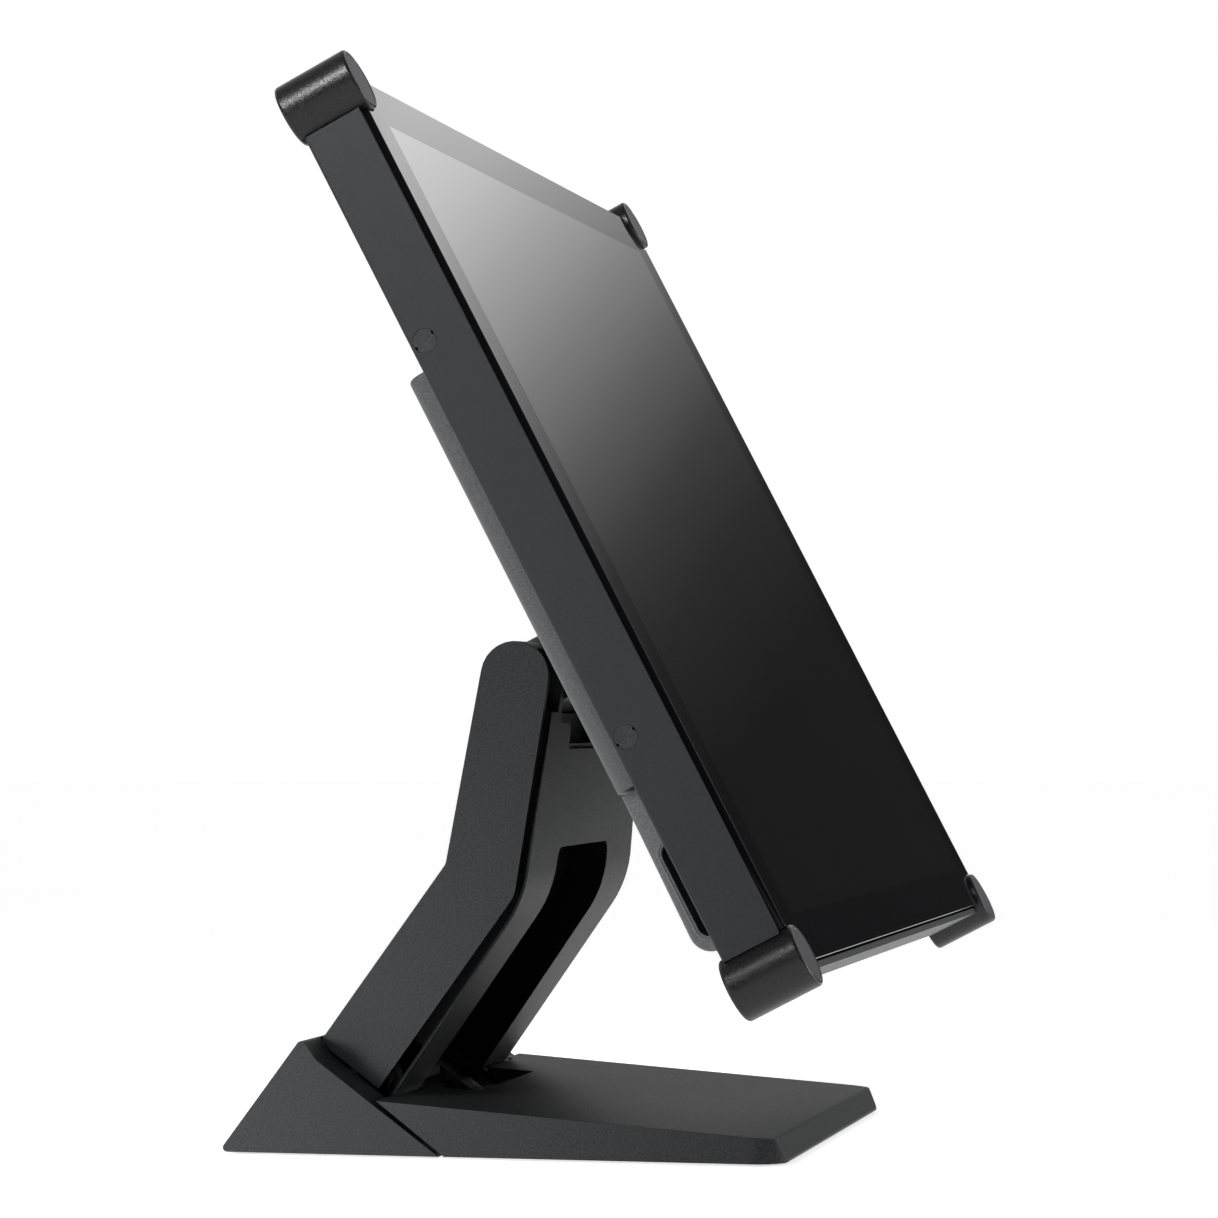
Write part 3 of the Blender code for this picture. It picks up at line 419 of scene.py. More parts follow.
def brushed_steel(name, colour, roughness):
    """Steel with fine lines along X and slow changes in its gloss."""
    material = bpy.data.materials.new(name)
    tree, shader = nodes_of(material)
    where = object_coordinates(tree)
    stretch = add_node(tree, "ShaderNodeMapping")
    stretch.inputs["Scale"].default_value = (0.04, 1, 1)
    tree.links.new(where, stretch.inputs["Vector"])
    lines = noise(tree, stretch.outputs[0], 1800, 3.0, 0.6)
    blotch = noise(tree, where, 60, 3.0, 0.5)
    share = remap(tree, lines, 0.3, 0.7, 0, 1)
    base = blend_colours(tree, share, shade(colour, 0.8), shade(colour, 1.1))
    tree.links.new(base, shader.inputs["Base Color"])
    gloss = remap(tree, blotch, 0.3, 0.7, roughness - 0.07, roughness + 0.1)
    tree.links.new(gloss, shader.inputs["Roughness"])
    tree.links.new(bump(tree, lines, 0.12, 0.03), shader.inputs["Normal"])
    shader.inputs["Metallic"].default_value = 1.0
    return material


def circuit_board(name):
    """Green solder mask with copper tracks under it and pale pads."""
    material = bpy.data.materials.new(name)
    tree, shader = nodes_of(material)
    where = object_coordinates(tree)
    bricks = add_node(tree, "ShaderNodeTexBrick")
    bricks.inputs["Scale"].default_value = 160
    bricks.inputs["Mortar Size"].default_value = 0.06
    bricks.inputs["Color1"].default_value = (0.012, 0.10, 0.045, 1)
    bricks.inputs["Color2"].default_value = (0.016, 0.14, 0.06, 1)
    bricks.inputs["Mortar"].default_value = (0.03, 0.24, 0.10, 1)
    tree.links.new(where, bricks.inputs["Vector"])
    cells = add_node(tree, "ShaderNodeTexVoronoi")
    cells.inputs["Scale"].default_value = 420
    tree.links.new(where, cells.inputs["Vector"])
    pads = remap(tree, cells.outputs["Distance"], 0.14, 0.18, 1.0, 0.0)
    tint = blend_colours(tree, pads, bricks.outputs["Color"], (0.55, 0.52, 0.42))
    tree.links.new(tint, shader.inputs["Base Color"])
    tree.links.new(bump(tree, bricks.outputs["Fac"], 0.2, 0.05), shader.inputs["Normal"])
    shader.inputs["Roughness"].default_value = 0.4
    return material


def rubber(name, colour):
    """Dull rubber with fine grain and a little dust."""
    material = bpy.data.materials.new(name)
    tree, shader = nodes_of(material)
    where = object_coordinates(tree)
    grain = noise(tree, where, 1400, 4.0, 0.65)
    dust = noise(tree, where, 120, 3.0, 0.5)
    base = blend_colours(tree, remap(tree, dust, 0.35, 0.75, 0, 1), colour, shade(colour, 1.7))
    tree.links.new(base, shader.inputs["Base Color"])
    tree.links.new(remap(tree, grain, 0.3, 0.7, 0.78, 0.95), shader.inputs["Roughness"])
    tree.links.new(bump(tree, grain, 0.3, 0.1), shader.inputs["Normal"])
    return material


class Palette:
    """The finishes, each made the first time that a piece asks for it."""

    made = {}

    @classmethod
    def get(cls, name):
        if name not in cls.made:
            cls.made[name] = cls.make(name)
        return cls.made[name]

    @staticmethod
    def make(name):
        look = bpy.context.scene.till_finishes
        if name == "stand plastic":
            return moulded_plastic("stand_plastic", look.stand, 0.52, 0.8, 1500, 0.8, 1.32)
        if name == "housing paint":
            return moulded_plastic("housing_paint", look.housing, 0.45, 0.2, 3000, 0.3)
        if name == "cap plastic":
            return moulded_plastic("cap_plastic", look.cap, 0.32, 0.4, 1600, 0.8)
        # End discs eight times lighter than the cap plastic: painted reflection, standing for the bright
        # sky the discs mirror at a grazing angle
        if name == "cap disc":
            return moulded_plastic("cap_disc_painted_reflection", shade(look.cap, 8), 0.55, 0.15, 1600, 0.3, 1.35)
        # Near-black finish that stands for painted shade where parts lie in shadow: the arm's cable
        # channel, the hinge bracket seen through the fork window and the base lugs in their pockets
        if name == "painted shade black":
            return moulded_plastic("painted_shade_black", shade(look.cap, 0.5), 0.75, 0.4, 1400, 0.4, 1.15)
        if name == "rear plastic":
            return moulded_plastic("rear_plastic", look.rear, 0.42, 0.4, 2200, 0.35)
        # A lighter copy of the rear covers' grey plastic for the cable cover: painted light, making the
        # cover brighter than the rear cover of the same plastic
        if name == "cable plastic":
            return moulded_plastic("cable_plastic_painted_light", shade(look.rear, 1.6), 0.36, 0.4, 2200, 0.35)
        if name == "key plastic":
            return moulded_plastic("key_plastic", look.cap, 0.4, 0.2, 3000)
        if name == "plug plastic":
            return moulded_plastic("plug_plastic", look.plug, 0.62, 1.0, 1300, 0.6)
        if name == "dark steel":
            return brushed_steel("dark_steel", (0.10, 0.10, 0.105), 0.38)
        if name == "steel":
            return brushed_steel("bright_steel", (0.52, 0.52, 0.53), 0.3)
        if name == "border glass":
            return screen_glass("border_glass", look.border, shade(look.border, 1.3), 0.03, 1.22)
        if name == "screen glass":
            return screen_glass("screen_glass", look.active_low, look.active_high, 0.04, 1.72)
        if name == "circuit board":
            return circuit_board("circuit_board")
        if name == "light guide":
            return moulded_plastic("light_guide", (0.6, 0.6, 0.6), 0.4, 0.1, 900)
        if name == "rubber":
            return rubber("black_rubber", (0.014, 0.014, 0.015))
        raise ValueError(name)


# ---- settings -------------------------------------------------------------------------------------


def length(name, text, millimetres):
    return FloatProperty(
        name=name, description=text, default=millimetres * MM, subtype="DISTANCE", unit="LENGTH",
        precision=5,
    )


def colour(name, text, value):
    return FloatVectorProperty(
        name=name, description=text, default=value, subtype="COLOR", min=0, max=1, size=3
    )


class TillSizes(bpy.types.PropertyGroup):
    """Sizes of edges and small features that the CAD leaves plain."""

    glass_bevel: length("Glass bevel", "Width of the ground edge of the cover glass", 0.3)
    cap_edge: length("Cap edge", "Radius of the edge at both ends of a corner cap", 0.9)
    cap_lip: length("Cap lip", "Width of the thin lip around a cap's end disc", 0.45)
    rear_round: length("Rear cover rounding", "Radius along the rear cover's sides", 4.5)
    rear_top: length("Rear cover top edge", "Radius along the rear cover's top", 1.2)
    cover_edge: length("Cable cover edge", "Radius of the cable cover's outer edges", 0.8)
    outlet_rim: length("Outlet rim", "Width of the raised rim around a cable outlet", 1.3)
    arm_edge: length("Arm edge", "Width of the rounded edge along the back of the arm", 1.4)
    base_edge: length("Base edge", "Radius of the base covers' edges", 0.5)
    wedge_round: length("Wedge rounding", "Radius between the wedge's sides and its back", 4.5)
    vent_count: IntProperty(name="Vents", description="Air slots in each row", default=14, min=1)


class TillFinishes(bpy.types.PropertyGroup):
    """Colours of the finishes."""

    stand: colour("Stand", "Grained black plastic of the arm and base", (0.0105, 0.0113, 0.0127))
    housing: colour("Housing", "Dark paint of the display's sides", (0.015, 0.0164, 0.0187))
    cap: colour("Caps", "Satin black plastic of the corner caps", (0.006, 0.006, 0.007))
    rear: colour("Rear covers", "Grey plastic of the back of the display", (0.072, 0.074, 0.077))
    plug: colour("Plugs", "Coarse plastic of the side plugs", (0.024, 0.025, 0.027))
    border: colour("Screen border", "Printed border behind the glass", (0.004, 0.004, 0.005))
    active_low: colour("Screen, darker", "Dark parts of the switched-off screen", (0.005, 0.005, 0.006))
    active_high: colour(
        "Screen, lighter", "Light parts of the switched-off screen", (0.007, 0.007, 0.008)
    )
    active_width: length("Screen width", "Width of the active area", 304.1)
    active_height: length("Screen height", "Height of the active area", 228.1)


class TillStudio(bpy.types.PropertyGroup):
    """Camera and light."""

    azimuth: FloatProperty(
        name="Azimuth", description="Turn of the camera about the object", subtype="ANGLE",
        default=math.radians(-77.122),
    )
    elevation: FloatProperty(
        name="Elevation", description="Height angle of the camera", subtype="ANGLE",
        default=math.radians(-1.27),
    )
    distance: length("Distance", "Camera distance from its target", 1222.9)
    target: FloatVectorProperty(
        name="Target", description="What the camera turns about", subtype="TRANSLATION",
        unit="LENGTH", default=(0, 0.00365, 0.150), size=3,
    )
    focal: FloatProperty(name="Focal length", description="Lens, on a 36 mm sensor", default=123.56)
    shift: FloatVectorProperty(
        name="Shift", description="Sensor shift, across and up", default=(0.0098, 0.0073), size=2
    )
    sky: FloatProperty(name="Sky", description="Brightness of the surroundings", default=1.6)
    camera_side: FloatProperty(
        name="Camera side", description="Brightness on the camera's side of the sky", default=0.35
    )


# ---- display --------------------------------------------------------------------------------------


def corner_places():
    """Middle of each cap in the flat display, in millimetres, with its name."""
    places = []
    for level in ("top", "bottom"):
        for side, _ in LEFT_RIGHT:
            low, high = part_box("corner_cap_%s_%s" % (level, side))
            middle = to_display((low + high) / 2) / MM
            places.append((middle.x, middle.z, "%s_%s" % (level, side)))
    return places


def notch_cutters():
    """A cutter around each corner cap, a little wider than the cap."""
    return [rod("notch", (x, 9, v), "Y", CAP_NOTCH, 40, 64) for x, v, _ in corner_places()]


class TILL_OT_glass(bpy.types.Operator):
    """Cover glass with ground edges and a notch for each cap"""

    bl_idname = "till.glass"
    bl_label = "Cover Glass"

    def execute(self, context):
        sizes = context.scene.till_sizes
        glass = block(
            "screen", (-GLASS_SIDE, 0, -GLASS_END), (GLASS_SIDE, GLASS_BACK, GLASS_END)
        )
        carve(glass, *notch_cutters())
        bevel_edges(
            glass, lambda at, way, bend: at.y < 0.01 and bend > 0.5, sizes.glass_bevel / MM, 2
        )
        half_width, half_height = (size / 2 for size in self.screen_size(context))
        with shaping(glass):
            for way, half in ((Vector((1, 0, 0)), half_width), (Vector((0, 0, 1)), half_height)):
                for side in (-1, 1):
                    pick_faces(glass, lambda at, normal: normal.y < -0.99)
                    bpy.ops.mesh.bisect(plane_co=way * half * side, plane_no=way)
        settle(glass, flat_frame())
        smooth(glass)
        finish_piece(
            glass, "display", "screen_glass", ["cover_glass"], Palette.get("border glass"),
            Palette.get("screen glass"),
        )
        paint_faces(glass, 1, lambda at, normal: self.in_screen(at, half_width, half_height))
        return {"FINISHED"}

    @staticmethod
    def screen_size(context):
        look = context.scene.till_finishes
        return look.active_width, look.active_height

    @staticmethod
    def in_screen(at, half_width, half_height):
        place = to_display(at * MM)
        return abs(place.x) < half_width and abs(place.z) < half_height and place.y < 0.1 * MM


class TILL_OT_housing(bpy.types.Operator):
    """Painted metal box around the screen, open in front, with a window for the wiring behind"""

    bl_idname = "till.housing"
    bl_label = "Housing"

    def execute(self, context):
        box = block(
            "housing_shell", (-HOUSING_SIDE, HOUSING_FRONT, -HOUSING_END),
            (HOUSING_SIDE, HOUSING_BACK, HOUSING_END),
        )
        bevel_edges(box, lambda at, way, bend: abs(way.y) > 0.9, 3.0, 4)
        bevel_edges(box, lambda at, way, bend: at.y > HOUSING_BACK - 0.1 and bend > 0.5, 0.8, 3)
        with shaping(box):
            pick_faces(box, lambda at, normal: normal.y < -0.9)
            bpy.ops.mesh.inset(thickness=HOUSING_WALL * MM)
            bpy.ops.mesh.extrude_region_move(
                TRANSFORM_OT_translate={"value": (0, HOUSING_HOLLOW * MM, 0)}
            )
        carve(box, *notch_cutters())
        carve(box, block("window", (-128, 10, -103.5), (128, 22, 45)))
        for side in (-1, 1):
            for level in (-1, 1):
                centre = (side * HOUSING_SIDE, PLUG_DEPTH, level * PLUG_HEIGHT)
                carve(box, rod("plug_hole", centre, "X", PLUG_HOLE, 12, 64))
        soften(box, 0.18, 2, 50)
        settle(box, flat_frame())
        smooth(box)
        finish_piece(
            box, "display", "housing_metal", ["housing"], Palette.get("housing paint"),
            Palette.get("rubber"),
        )
        # The front faces of the side rims are painted with the dark rubber finish: painted shade for the
        # dark gap between glass and side wall; the top and bottom rims keep the housing paint
        front = flat_frame().to_3x3() @ Vector((0, -1, 0))
        paint_faces(
            box, 1, lambda at, normal: normal.dot(front) > 0.9 and abs(at.x) > 160
            and to_display(at * MM).y < (HOUSING_FRONT + 0.3) * MM
        )
        return {"FINISHED"}


class TILL_OT_caps(bpy.types.Operator):
    """Four cylindrical corner caps with a thin lip around each end disc"""

    bl_idname = "till.caps"
    bl_label = "Corner Caps"

    def execute(self, context):
        sizes = context.scene.till_sizes
        model = rod("cap", (0, CAP_MIDDLE, 0), "Y", CAP_RADIUS, CAP_LENGTH, 96)
        bevel_edges(
            model, lambda at, way, bend: abs(at.y - CAP_MIDDLE) > 10.4, sizes.cap_edge / MM, 5
        )
        with shaping(model):
            for sign in (-1, 1):
                pick_faces(model, lambda at, normal, sign=sign: normal.y * sign > 0.99)
                bpy.ops.mesh.inset(thickness=sizes.cap_lip)
                bpy.ops.mesh.inset(thickness=0.12 * MM, depth=-0.12 * MM)
                bpy.ops.mesh.inset(thickness=0.25 * MM)
        for x, v, name in corner_places():
            place = flat_frame() @ Matrix.Translation(Vector((x, 0, v)) * MM)
            cap = copied(model, "cap_" + name, place)
            smooth(cap, 30)
            finish_piece(
                cap, "display", "cap_plastic", ["corner_cap_" + name], Palette.get("cap plastic"),
                Palette.get("cap disc"),
            )
            # Both end discs get the lighter disc finish, a painted reflection
            ends = flat_frame().to_3x3() @ Vector((0, 1, 0))
            paint_faces(cap, 1, lambda at, normal: abs(normal.dot(ends)) > 0.999)
        bpy.data.objects.remove(model, do_unlink=True)
        return {"FINISHED"}


class TILL_OT_plugs(bpy.types.Operator):
    """Round plugs in the side walls, each with two small notches for a tool"""

    bl_idname = "till.plugs"
    bl_label = "Side Plugs"

    def execute(self, context):
        notch_way = Vector((0, -0.95, 0.31))
        for side, sign in LEFT_RIGHT:
            for level, height in LEVELS:
                centre = Vector((sign * (HOUSING_SIDE - 1.5), PLUG_DEPTH, height * PLUG_HEIGHT))
                plug = rod("plug_%s_%s" % (side, level), centre, "X", PLUG_RADIUS, 3.0, 64)
                for turn in (-1, 1):
                    at = centre + notch_way * PLUG_RADIUS * turn
                    carve(plug, rod("tool_notch", at, "X", 0.55, 8, 16))
                bevel_edges(
                    plug, lambda at, way, bend: abs(at.x) > 169.4 and bend > 0.5, 0.2, 2
                )
                settle(plug, flat_frame())
                smooth(plug)
                finish_piece(
                    plug, "display", "plug_plastic", ["side_plug_%s_%s" % (side, level)],
                    Palette.get("plug plastic"),
                )
        return {"FINISHED"}


class TILL_OT_rear_cover(bpy.types.Operator):
    """Raised upper back with rounded sides, air slots, key holes and a seam along its foot"""

    bl_idname = "till.rear_cover"
    bl_label = "Rear Cover"

    def execute(self, context):
        sizes = context.scene.till_sizes
        side, low, high = REAR_COVER_SIDE, REAR_COVER_LOW, REAR_COVER_HIGH
        cover = block("rear_shell", (-side, HUMP_FRONT, low), (side, HUMP_BACK, high))
        bevel_edges(
            cover,
            lambda at, way, bend: at.y > HUMP_BACK - 0.1 and abs(at.x) > side - 0.1 and bend > 0.5,
            sizes.rear_round / MM, 8,
        )
        bevel_edges(
            cover,
            lambda at, way, bend: at.z > high - 0.1 and bend > 0.5 and at.y > HUMP_FRONT + 0.1,
            sizes.rear_top / MM, 4,
        )
        with shaping(cover):
            pick_faces(cover, lambda at, normal: normal.y < -0.99)
            bpy.ops.mesh.inset(thickness=HUMP_WALL * MM)
            bpy.ops.mesh.extrude_region_move(TRANSFORM_OT_translate={"value": (0, 7.0 * MM, 0)})
        carve(cover, block("socket_gap", (-60, 15, low - 3), (63, 25.5, low + 5)))
        count = sizes.vent_count
        for k in range(count):
            x = (k - (count - 1) / 2) * VENT_PITCH
            slot = stadium("vent", (HUMP_BACK, VENT_HEIGHT), VENT_HALF, VENT_RADIUS, -3, 3)
            place = Matrix.Translation(Vector((x, HUMP_BACK, VENT_HEIGHT)) * MM)
            turn = Matrix.Rotation(math.pi / 2, 4, "Z")
            middle = Matrix.Translation(Vector((0, -HUMP_BACK, -VENT_HEIGHT)) * MM)
            settle(slot, place @ turn @ middle)
            carve(cover, slot)
        for name in KEYS:
            x, v = key_place(name)
            carve(cover, rod("key_hole", (x, 27, v), "Y", KEY_HOLE, 10, 32))
        soften(cover, 0.3, 2, 55)
        settle(cover, flat_frame())
        smooth(cover)
        finish_piece(cover, "display", "rear_plastic", ["rear_cover"], Palette.get("rear plastic"))
        return {"FINISHED"}


def key_place(name):
    """Where a key's middle is in the flat display: across and up, in millimetres."""
    low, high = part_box(name)
    middle = to_display((low + high) / 2) / MM
    return middle.x, middle.z


class TILL_OT_cable_cover(bpy.types.Operator):
    """Lower back cover with a rimmed cable outlet in each side"""

    bl_idname = "till.cable_cover"
    bl_label = "Cable Cover"

    def execute(self, context):
        sizes = context.scene.till_sizes
        half, low, high = CABLE_COVER_SIDE, CABLE_COVER_LOW, CABLE_COVER_HIGH
        cover = block("cable_shell", (-half, HUMP_FRONT, low), (half, HUMP_BACK, high))
        bevel_edges(
            cover, lambda at, way, bend: at.y > HUMP_BACK - 0.1 and at.z < low + 1, 6.0, 8
        )
        bevel_edges(
            cover,
            lambda at, way, bend: abs(at.x) > half - 0.1 and bend > 0.5
            and at.y > HUMP_FRONT + 0.1 and at.z < high - 1,
            sizes.cover_edge / MM, 3,
        )
        with shaping(cover):
            pick_faces(cover, lambda at, normal: normal.y < -0.99)
            bpy.ops.mesh.inset(thickness=HUMP_WALL * MM)
            bpy.ops.mesh.extrude_region_move(TRANSFORM_OT_translate={"value": (0, 7.2 * MM, 0)})
        inner = half - 2
        carve(cover, block("open_top", (-inner, 15, high - 6), (inner, 26.4, high + 3)))
        rim = sizes.outlet_rim / MM
        for side, sign in LEFT_RIGHT:
            ring = self.oval("rim_" + side, rim, sign * 139.2, sign * 141.45)
            bevel_edges(ring, lambda at, way, bend: abs(at.x) > 141.4 and bend > 0.5, 0.35, 3)
            carve(cover, ring, operation="UNION")
            carve(cover, self.oval("outlet_" + side, 0, sign * 134, sign * 146))
            carve(cover, self.oval("groove_" + side, rim * 0.45, sign * 141.15, sign * 146))
        with shaping(cover):
            pick_edges(cover, lambda at, way, bend: at.y > 27.0 and at.z > high - 0.1)
            bpy.ops.transform.translate(value=(0, -CABLE_COVER_STEP * MM, 0))
        soften(cover, 0.12, 2, 55)
        settle(cover, flat_frame())
        smooth(cover)
        # The cable cover takes the lighter copy of the rear plastic: painted light
        finish_piece(cover, "display", "rear_plastic", ["cable_cover"], Palette.get("cable plastic"))
        return {"FINISHED"}

    @staticmethod
    def oval(name, wider, x0, x1):
        """The outlet's outline, widened all round, between two places across."""
        return stadium(name, OUTLET_MIDDLE, OUTLET_HALF + wider, OUTLET_RADIUS + wider, x0, x1)


class TILL_OT_keys(bpy.types.Operator):
    """Power key and menu keys on the back, each with a shallow dish"""

    bl_idname = "till.keys"
    bl_label = "Keys"

    def execute(self, context):
        for name in KEYS:
            x, v = key_place(name)
            key = rod(name + "_top", (x, 27.35, v), "Y", 3.0, 4.1, 48)
            bevel_edges(key, lambda at, way, bend: at.y > 29.3 and bend > 0.5, 0.4, 4)
            with shaping(key):
                pick_faces(key, lambda at, normal: normal.y > 0.99 and at.y > 29.3)
                bpy.ops.mesh.inset(thickness=0.5 * MM)
                bpy.ops.mesh.inset(thickness=0.8 * MM, depth=-0.25 * MM)
                pick_faces(key, lambda at, normal: normal.y < -0.99)
                bpy.ops.mesh.extrude_region_move(
                    TRANSFORM_OT_translate={"value": (0, -0.05 * MM, 0)}
                )
            flange = rod("flange", (x, 25.7, v), "Y", 3.8, 0.8, 48)
            carve(key, flange, operation="UNION")
            settle(key, flat_frame())
            smooth(key)
            finish_piece(key, name, "key_plastic", [name], Palette.get("key plastic"))
        return {"FINISHED"}


class TILL_OT_hinge_parts(bpy.types.Operator):
    """Neck cover, hinge bracket, screws, pins, washers and nuts"""

    bl_idname = "till.hinge_parts"
    bl_label = "Hinge Parts"

    def execute(self, context):
        neck = block(
            "neck_shell", (-NECK_HALF, NECK_FRONT, NECK_LOW), (NECK_HALF, NECK_BACK, NECK_HIGH)
        )
        bevel_edges(
            neck, lambda at, way, bend: at.y > NECK_BACK - 0.1 and abs(way.x) > 0.9, 9.79, 14
        )
        with shaping(neck):
            pick_faces(neck, lambda at, normal: normal.y < -0.99)
            bpy.ops.mesh.inset(thickness=2.0 * MM)
            bpy.ops.mesh.extrude_region_move(TRANSFORM_OT_translate={"value": (0, 20 * MM, 0)})
        soften(neck, 0.4, 3, 50)
        settle(neck, flat_frame())
        smooth(neck)
        # The neck cover takes the darker cap plastic rather than the stand plastic it is moulded in:
        # painted shade, keeping the fork window dark
        finish_piece(neck, "display", "stand_plastic", ["neck_cover"], Palette.get("cap plastic"))

        bracket = from_node("hinge_bracket", "bracket_plate")
        soften(bracket, 0.35, 2, 50)
        smooth(bracket)
        # The steel bracket is painted near-black as painted shade, so that it reads dark through the
        # fork window
        finish_piece(bracket, "display", "steel", ["hinge_bracket"], Palette.get("painted shade black"))

        model = rod("screw", (0, 0.85, 0), "Y", 3.8, 1.7, 40)
        bevel_edges(model, lambda at, way, bend: at.y > 1.6 and bend > 0.5, 0.7, 5)
        shank = rod("shank", (0, -4.9, 0), "Y", 2.0, 9.8, 24)
        carve(model, shank, operation="UNION")
        carve(model, rod("socket", (0, 1.6, 0), "Y", 1.5, 2.2, 6))
        for side, _ in LEFT_RIGHT:
            for level, _ in LEVELS:
                node = "bracket_screw_%s_%s" % (level, side)
                low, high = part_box(node)
                middle = to_display((low + high) / 2) / MM
                place = flat_frame() @ Matrix.Translation(Vector((middle.x, NECK_FRONT, middle.z)) * MM)
                screw = copied(model, "screw_%s_%s" % (level, side), place)
                smooth(screw)
                finish_piece(screw, "display", "steel", [node], Palette.get("steel"))
        bpy.data.objects.remove(model, do_unlink=True)

        for side, _ in LEFT_RIGHT:
            for node, body in (
                ("tilt_pin_", "display"), ("tilt_washer_", "display"), ("tilt_nut_", "display"),
                ("fold_pin_", "base"), ("fold_nut_", "base"),
            ):
                finish = "dark steel" if body == "base" else "steel"
                piece = from_node(node + side, node + side + "_turned")
                soften(piece, 0.25, 2, 40)
                smooth(piece)
                finish_piece(piece, body, "steel", [node + side], Palette.get(finish))
        return {"FINISHED"}


# ---- stand ----------------------------------------------------------------------------------------


class TILL_OT_arm(bpy.types.Operator):
    """Arm shell with a light edge along its back, and the front cover with its cable trough"""

    bl_idname = "till.arm"
    bl_label = "Arm"

    def execute(self, context):
        sizes = context.scene.till_sizes
        shell = from_node("arm_rear_shell", "arm_shell")
        bevel_edges(
            shell,
            lambda at, way, bend: abs(abs(at.x) - ARM_SIDE) < 0.05 and bend > 0.9 and is_behind(at),
            sizes.arm_edge / MM, 3,
        )
        soften(shell, 0.3, 2, 50)
        smooth(shell)
        finish_piece(shell, "arm", "stand_plastic", ["arm_rear_shell"], Palette.get("stand plastic"))

        cover = from_node("arm_front_cover", "arm_face")
        window_corners, channel_corners = (33.5, 110, 121, 2.5), (31.5, 82, 86, 3.5)
        for half, low, high, radius in (window_corners, channel_corners):
            bevel_edges(
                cover,
                lambda at, way, bend: abs(abs(at.x) - half) < 0.7 and low < at.z < high
                and abs(way.y) > 0.8 and bend > 1,
                radius, 5,
            )
        soften(cover, 0.25, 2, 40)
        smooth(cover)
        finish_piece(
            cover, "arm", "stand_plastic", ["arm_front_cover"], Palette.get("stand plastic"),
            Palette.get("painted shade black"),
        )
        # The faces lining the cable channel get the near-black finish: painted shade for the channel's
        # dark inside
        paint_faces(cover, 1, in_channel)
        return {"FINISHED"}


def in_channel(at, normal):
    """Whether a face of the arm's front cover lines its cable channel."""
    rise = at.z - COVER_KNEE_Z
    front = COVER_KNEE_Y + max(-rise, 0) * COVER_LOWER_SLOPE - max(rise, 0) * COVER_UPPER_SLOPE
    return abs(at.x) < CHANNEL_HALF and at.z < CHANNEL_TOP and at.y > front + COVER_SKIN


def is_behind(at):
    """Whether a point of the arm's outline lies on its back, from the foot to the round top."""
    if at.z < ARM_KNEE_Z:
        return at.y > 55 - (at.z - 20) * 0.55
    return at.y > 12 or at.z > 140


class TILL_OT_base(bpy.types.Operator):
    """Wedge, front cover and rubber feet"""

    bl_idname = "till.base"
    bl_label = "Base"

    def execute(self, context):
        sizes = context.scene.till_sizes
        wedge = from_node("base_rear_cover", "base_wedge")
        back_way = Vector((0, -23.7, 31.8)).normalized()
        bevel_edges(
            wedge,
            lambda at, way, bend: abs(at.x) > BASE_SIDE - 0.1 and at.y > 68
            and abs(way.dot(back_way)) > 0.98,
            sizes.wedge_round / MM, 6,
        )
        soften(wedge, sizes.base_edge / MM, 2, 40)
        smooth(wedge)
        finish_piece(
            wedge, "base", "stand_plastic", ["base_rear_cover"], Palette.get("stand plastic")
        )

        front = from_node("base_front_cover", "base_front")
        soften(front, sizes.base_edge / MM, 2, 40)
        smooth(front)
        finish_piece(
            front, "base", "stand_plastic", ["base_front_cover"], Palette.get("stand plastic")
        )

        for level in ("front", "rear"):
            for side, _ in LEFT_RIGHT:
                node = "foot_%s_%s" % (level, side)
                low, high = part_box(node)
                middle = (low + high) / 2 / MM
                foot = rod("pad_%s_%s" % (level, side), middle, "Z", 7.0, 1.5, 64)
                bevel_edges(foot, lambda at, way, bend: at.z < 0.1 and bend > 0.5, 0.4, 3)
                with shaping(foot):
                    pick_faces(foot, lambda at, normal: normal.z < -0.99)
                    bpy.ops.mesh.inset(thickness=1.2 * MM)
                    bpy.ops.mesh.inset(thickness=0.3 * MM, depth=-0.3 * MM)
                smooth(foot)
                finish_piece(foot, "base", "rubber", [node], Palette.get("rubber"))
        return {"FINISHED"}


class TILL_OT_inner_parts(bpy.types.Operator):
    """Finishes for the pieces whose CAD shape stays"""

    bl_idname = "till.inner_parts"
    bl_label = "Inner Parts"

    def execute(self, context):
        finishes = {
            "rubber": ("glass_seal",),
            "screen glass": ("lcd_cell",),
            "light guide": ("backlight_tray",),
            "circuit board": (
                "main_board", "backlight_driver_board", "touch_controller_board", "button_board",
            ),
            "key plastic": ("power_inlet", "speaker_left", "speaker_right"),
            "steel": ("video_socket", "monitor_socket", "usb_socket", "base_plate"),
            "dark steel": ("cover_stiffener", "arm_frame"),
            # The base lugs take the near-black finish: painted shade for the pockets they sit in
            "painted shade black": ("base_lug_left", "base_lug_right"),
        }
        for finish, nodes in finishes.items():
            for node in nodes:
                paint(frame["nodes"][node], Palette.get(finish))
        return {"FINISHED"}


# ---- studio ---------------------------------------------------------------------------------------


def flat_emission(name, brightness):
    """Plain white light, without shading."""
    material = bpy.data.materials.new(name)
    material.use_nodes = True
    tree = material.node_tree
    tree.nodes.clear()
    glow = add_node(tree, "ShaderNodeEmission")
    glow.inputs["Strength"].default_value = brightness
    out = add_node(tree, "ShaderNodeOutputMaterial")
    tree.links.new(glow.outputs[0], out.inputs["Surface"])
    return material


def pale_floor(name):
    """Nearly white matt floor with faint clouds, a little bright in itself."""
    material = bpy.data.materials.new(name)
    tree, shader = nodes_of(material)
    where = object_coordinates(tree)
    cloud = noise(tree, where, 3, 3.0, 0.5)
    base = blend_colours(tree, cloud, (0.90, 0.90, 0.90), (0.93, 0.93, 0.93))
    tree.links.new(base, shader.inputs["Base Color"])
    shader.inputs["Roughness"].default_value = 0.9
    shader.inputs["Specular IOR Level"].default_value = 0.2
    shader.inputs["Emission Color"].default_value = (1, 1, 1, 1)
    shader.inputs["Emission Strength"].default_value = 0.66
    return material


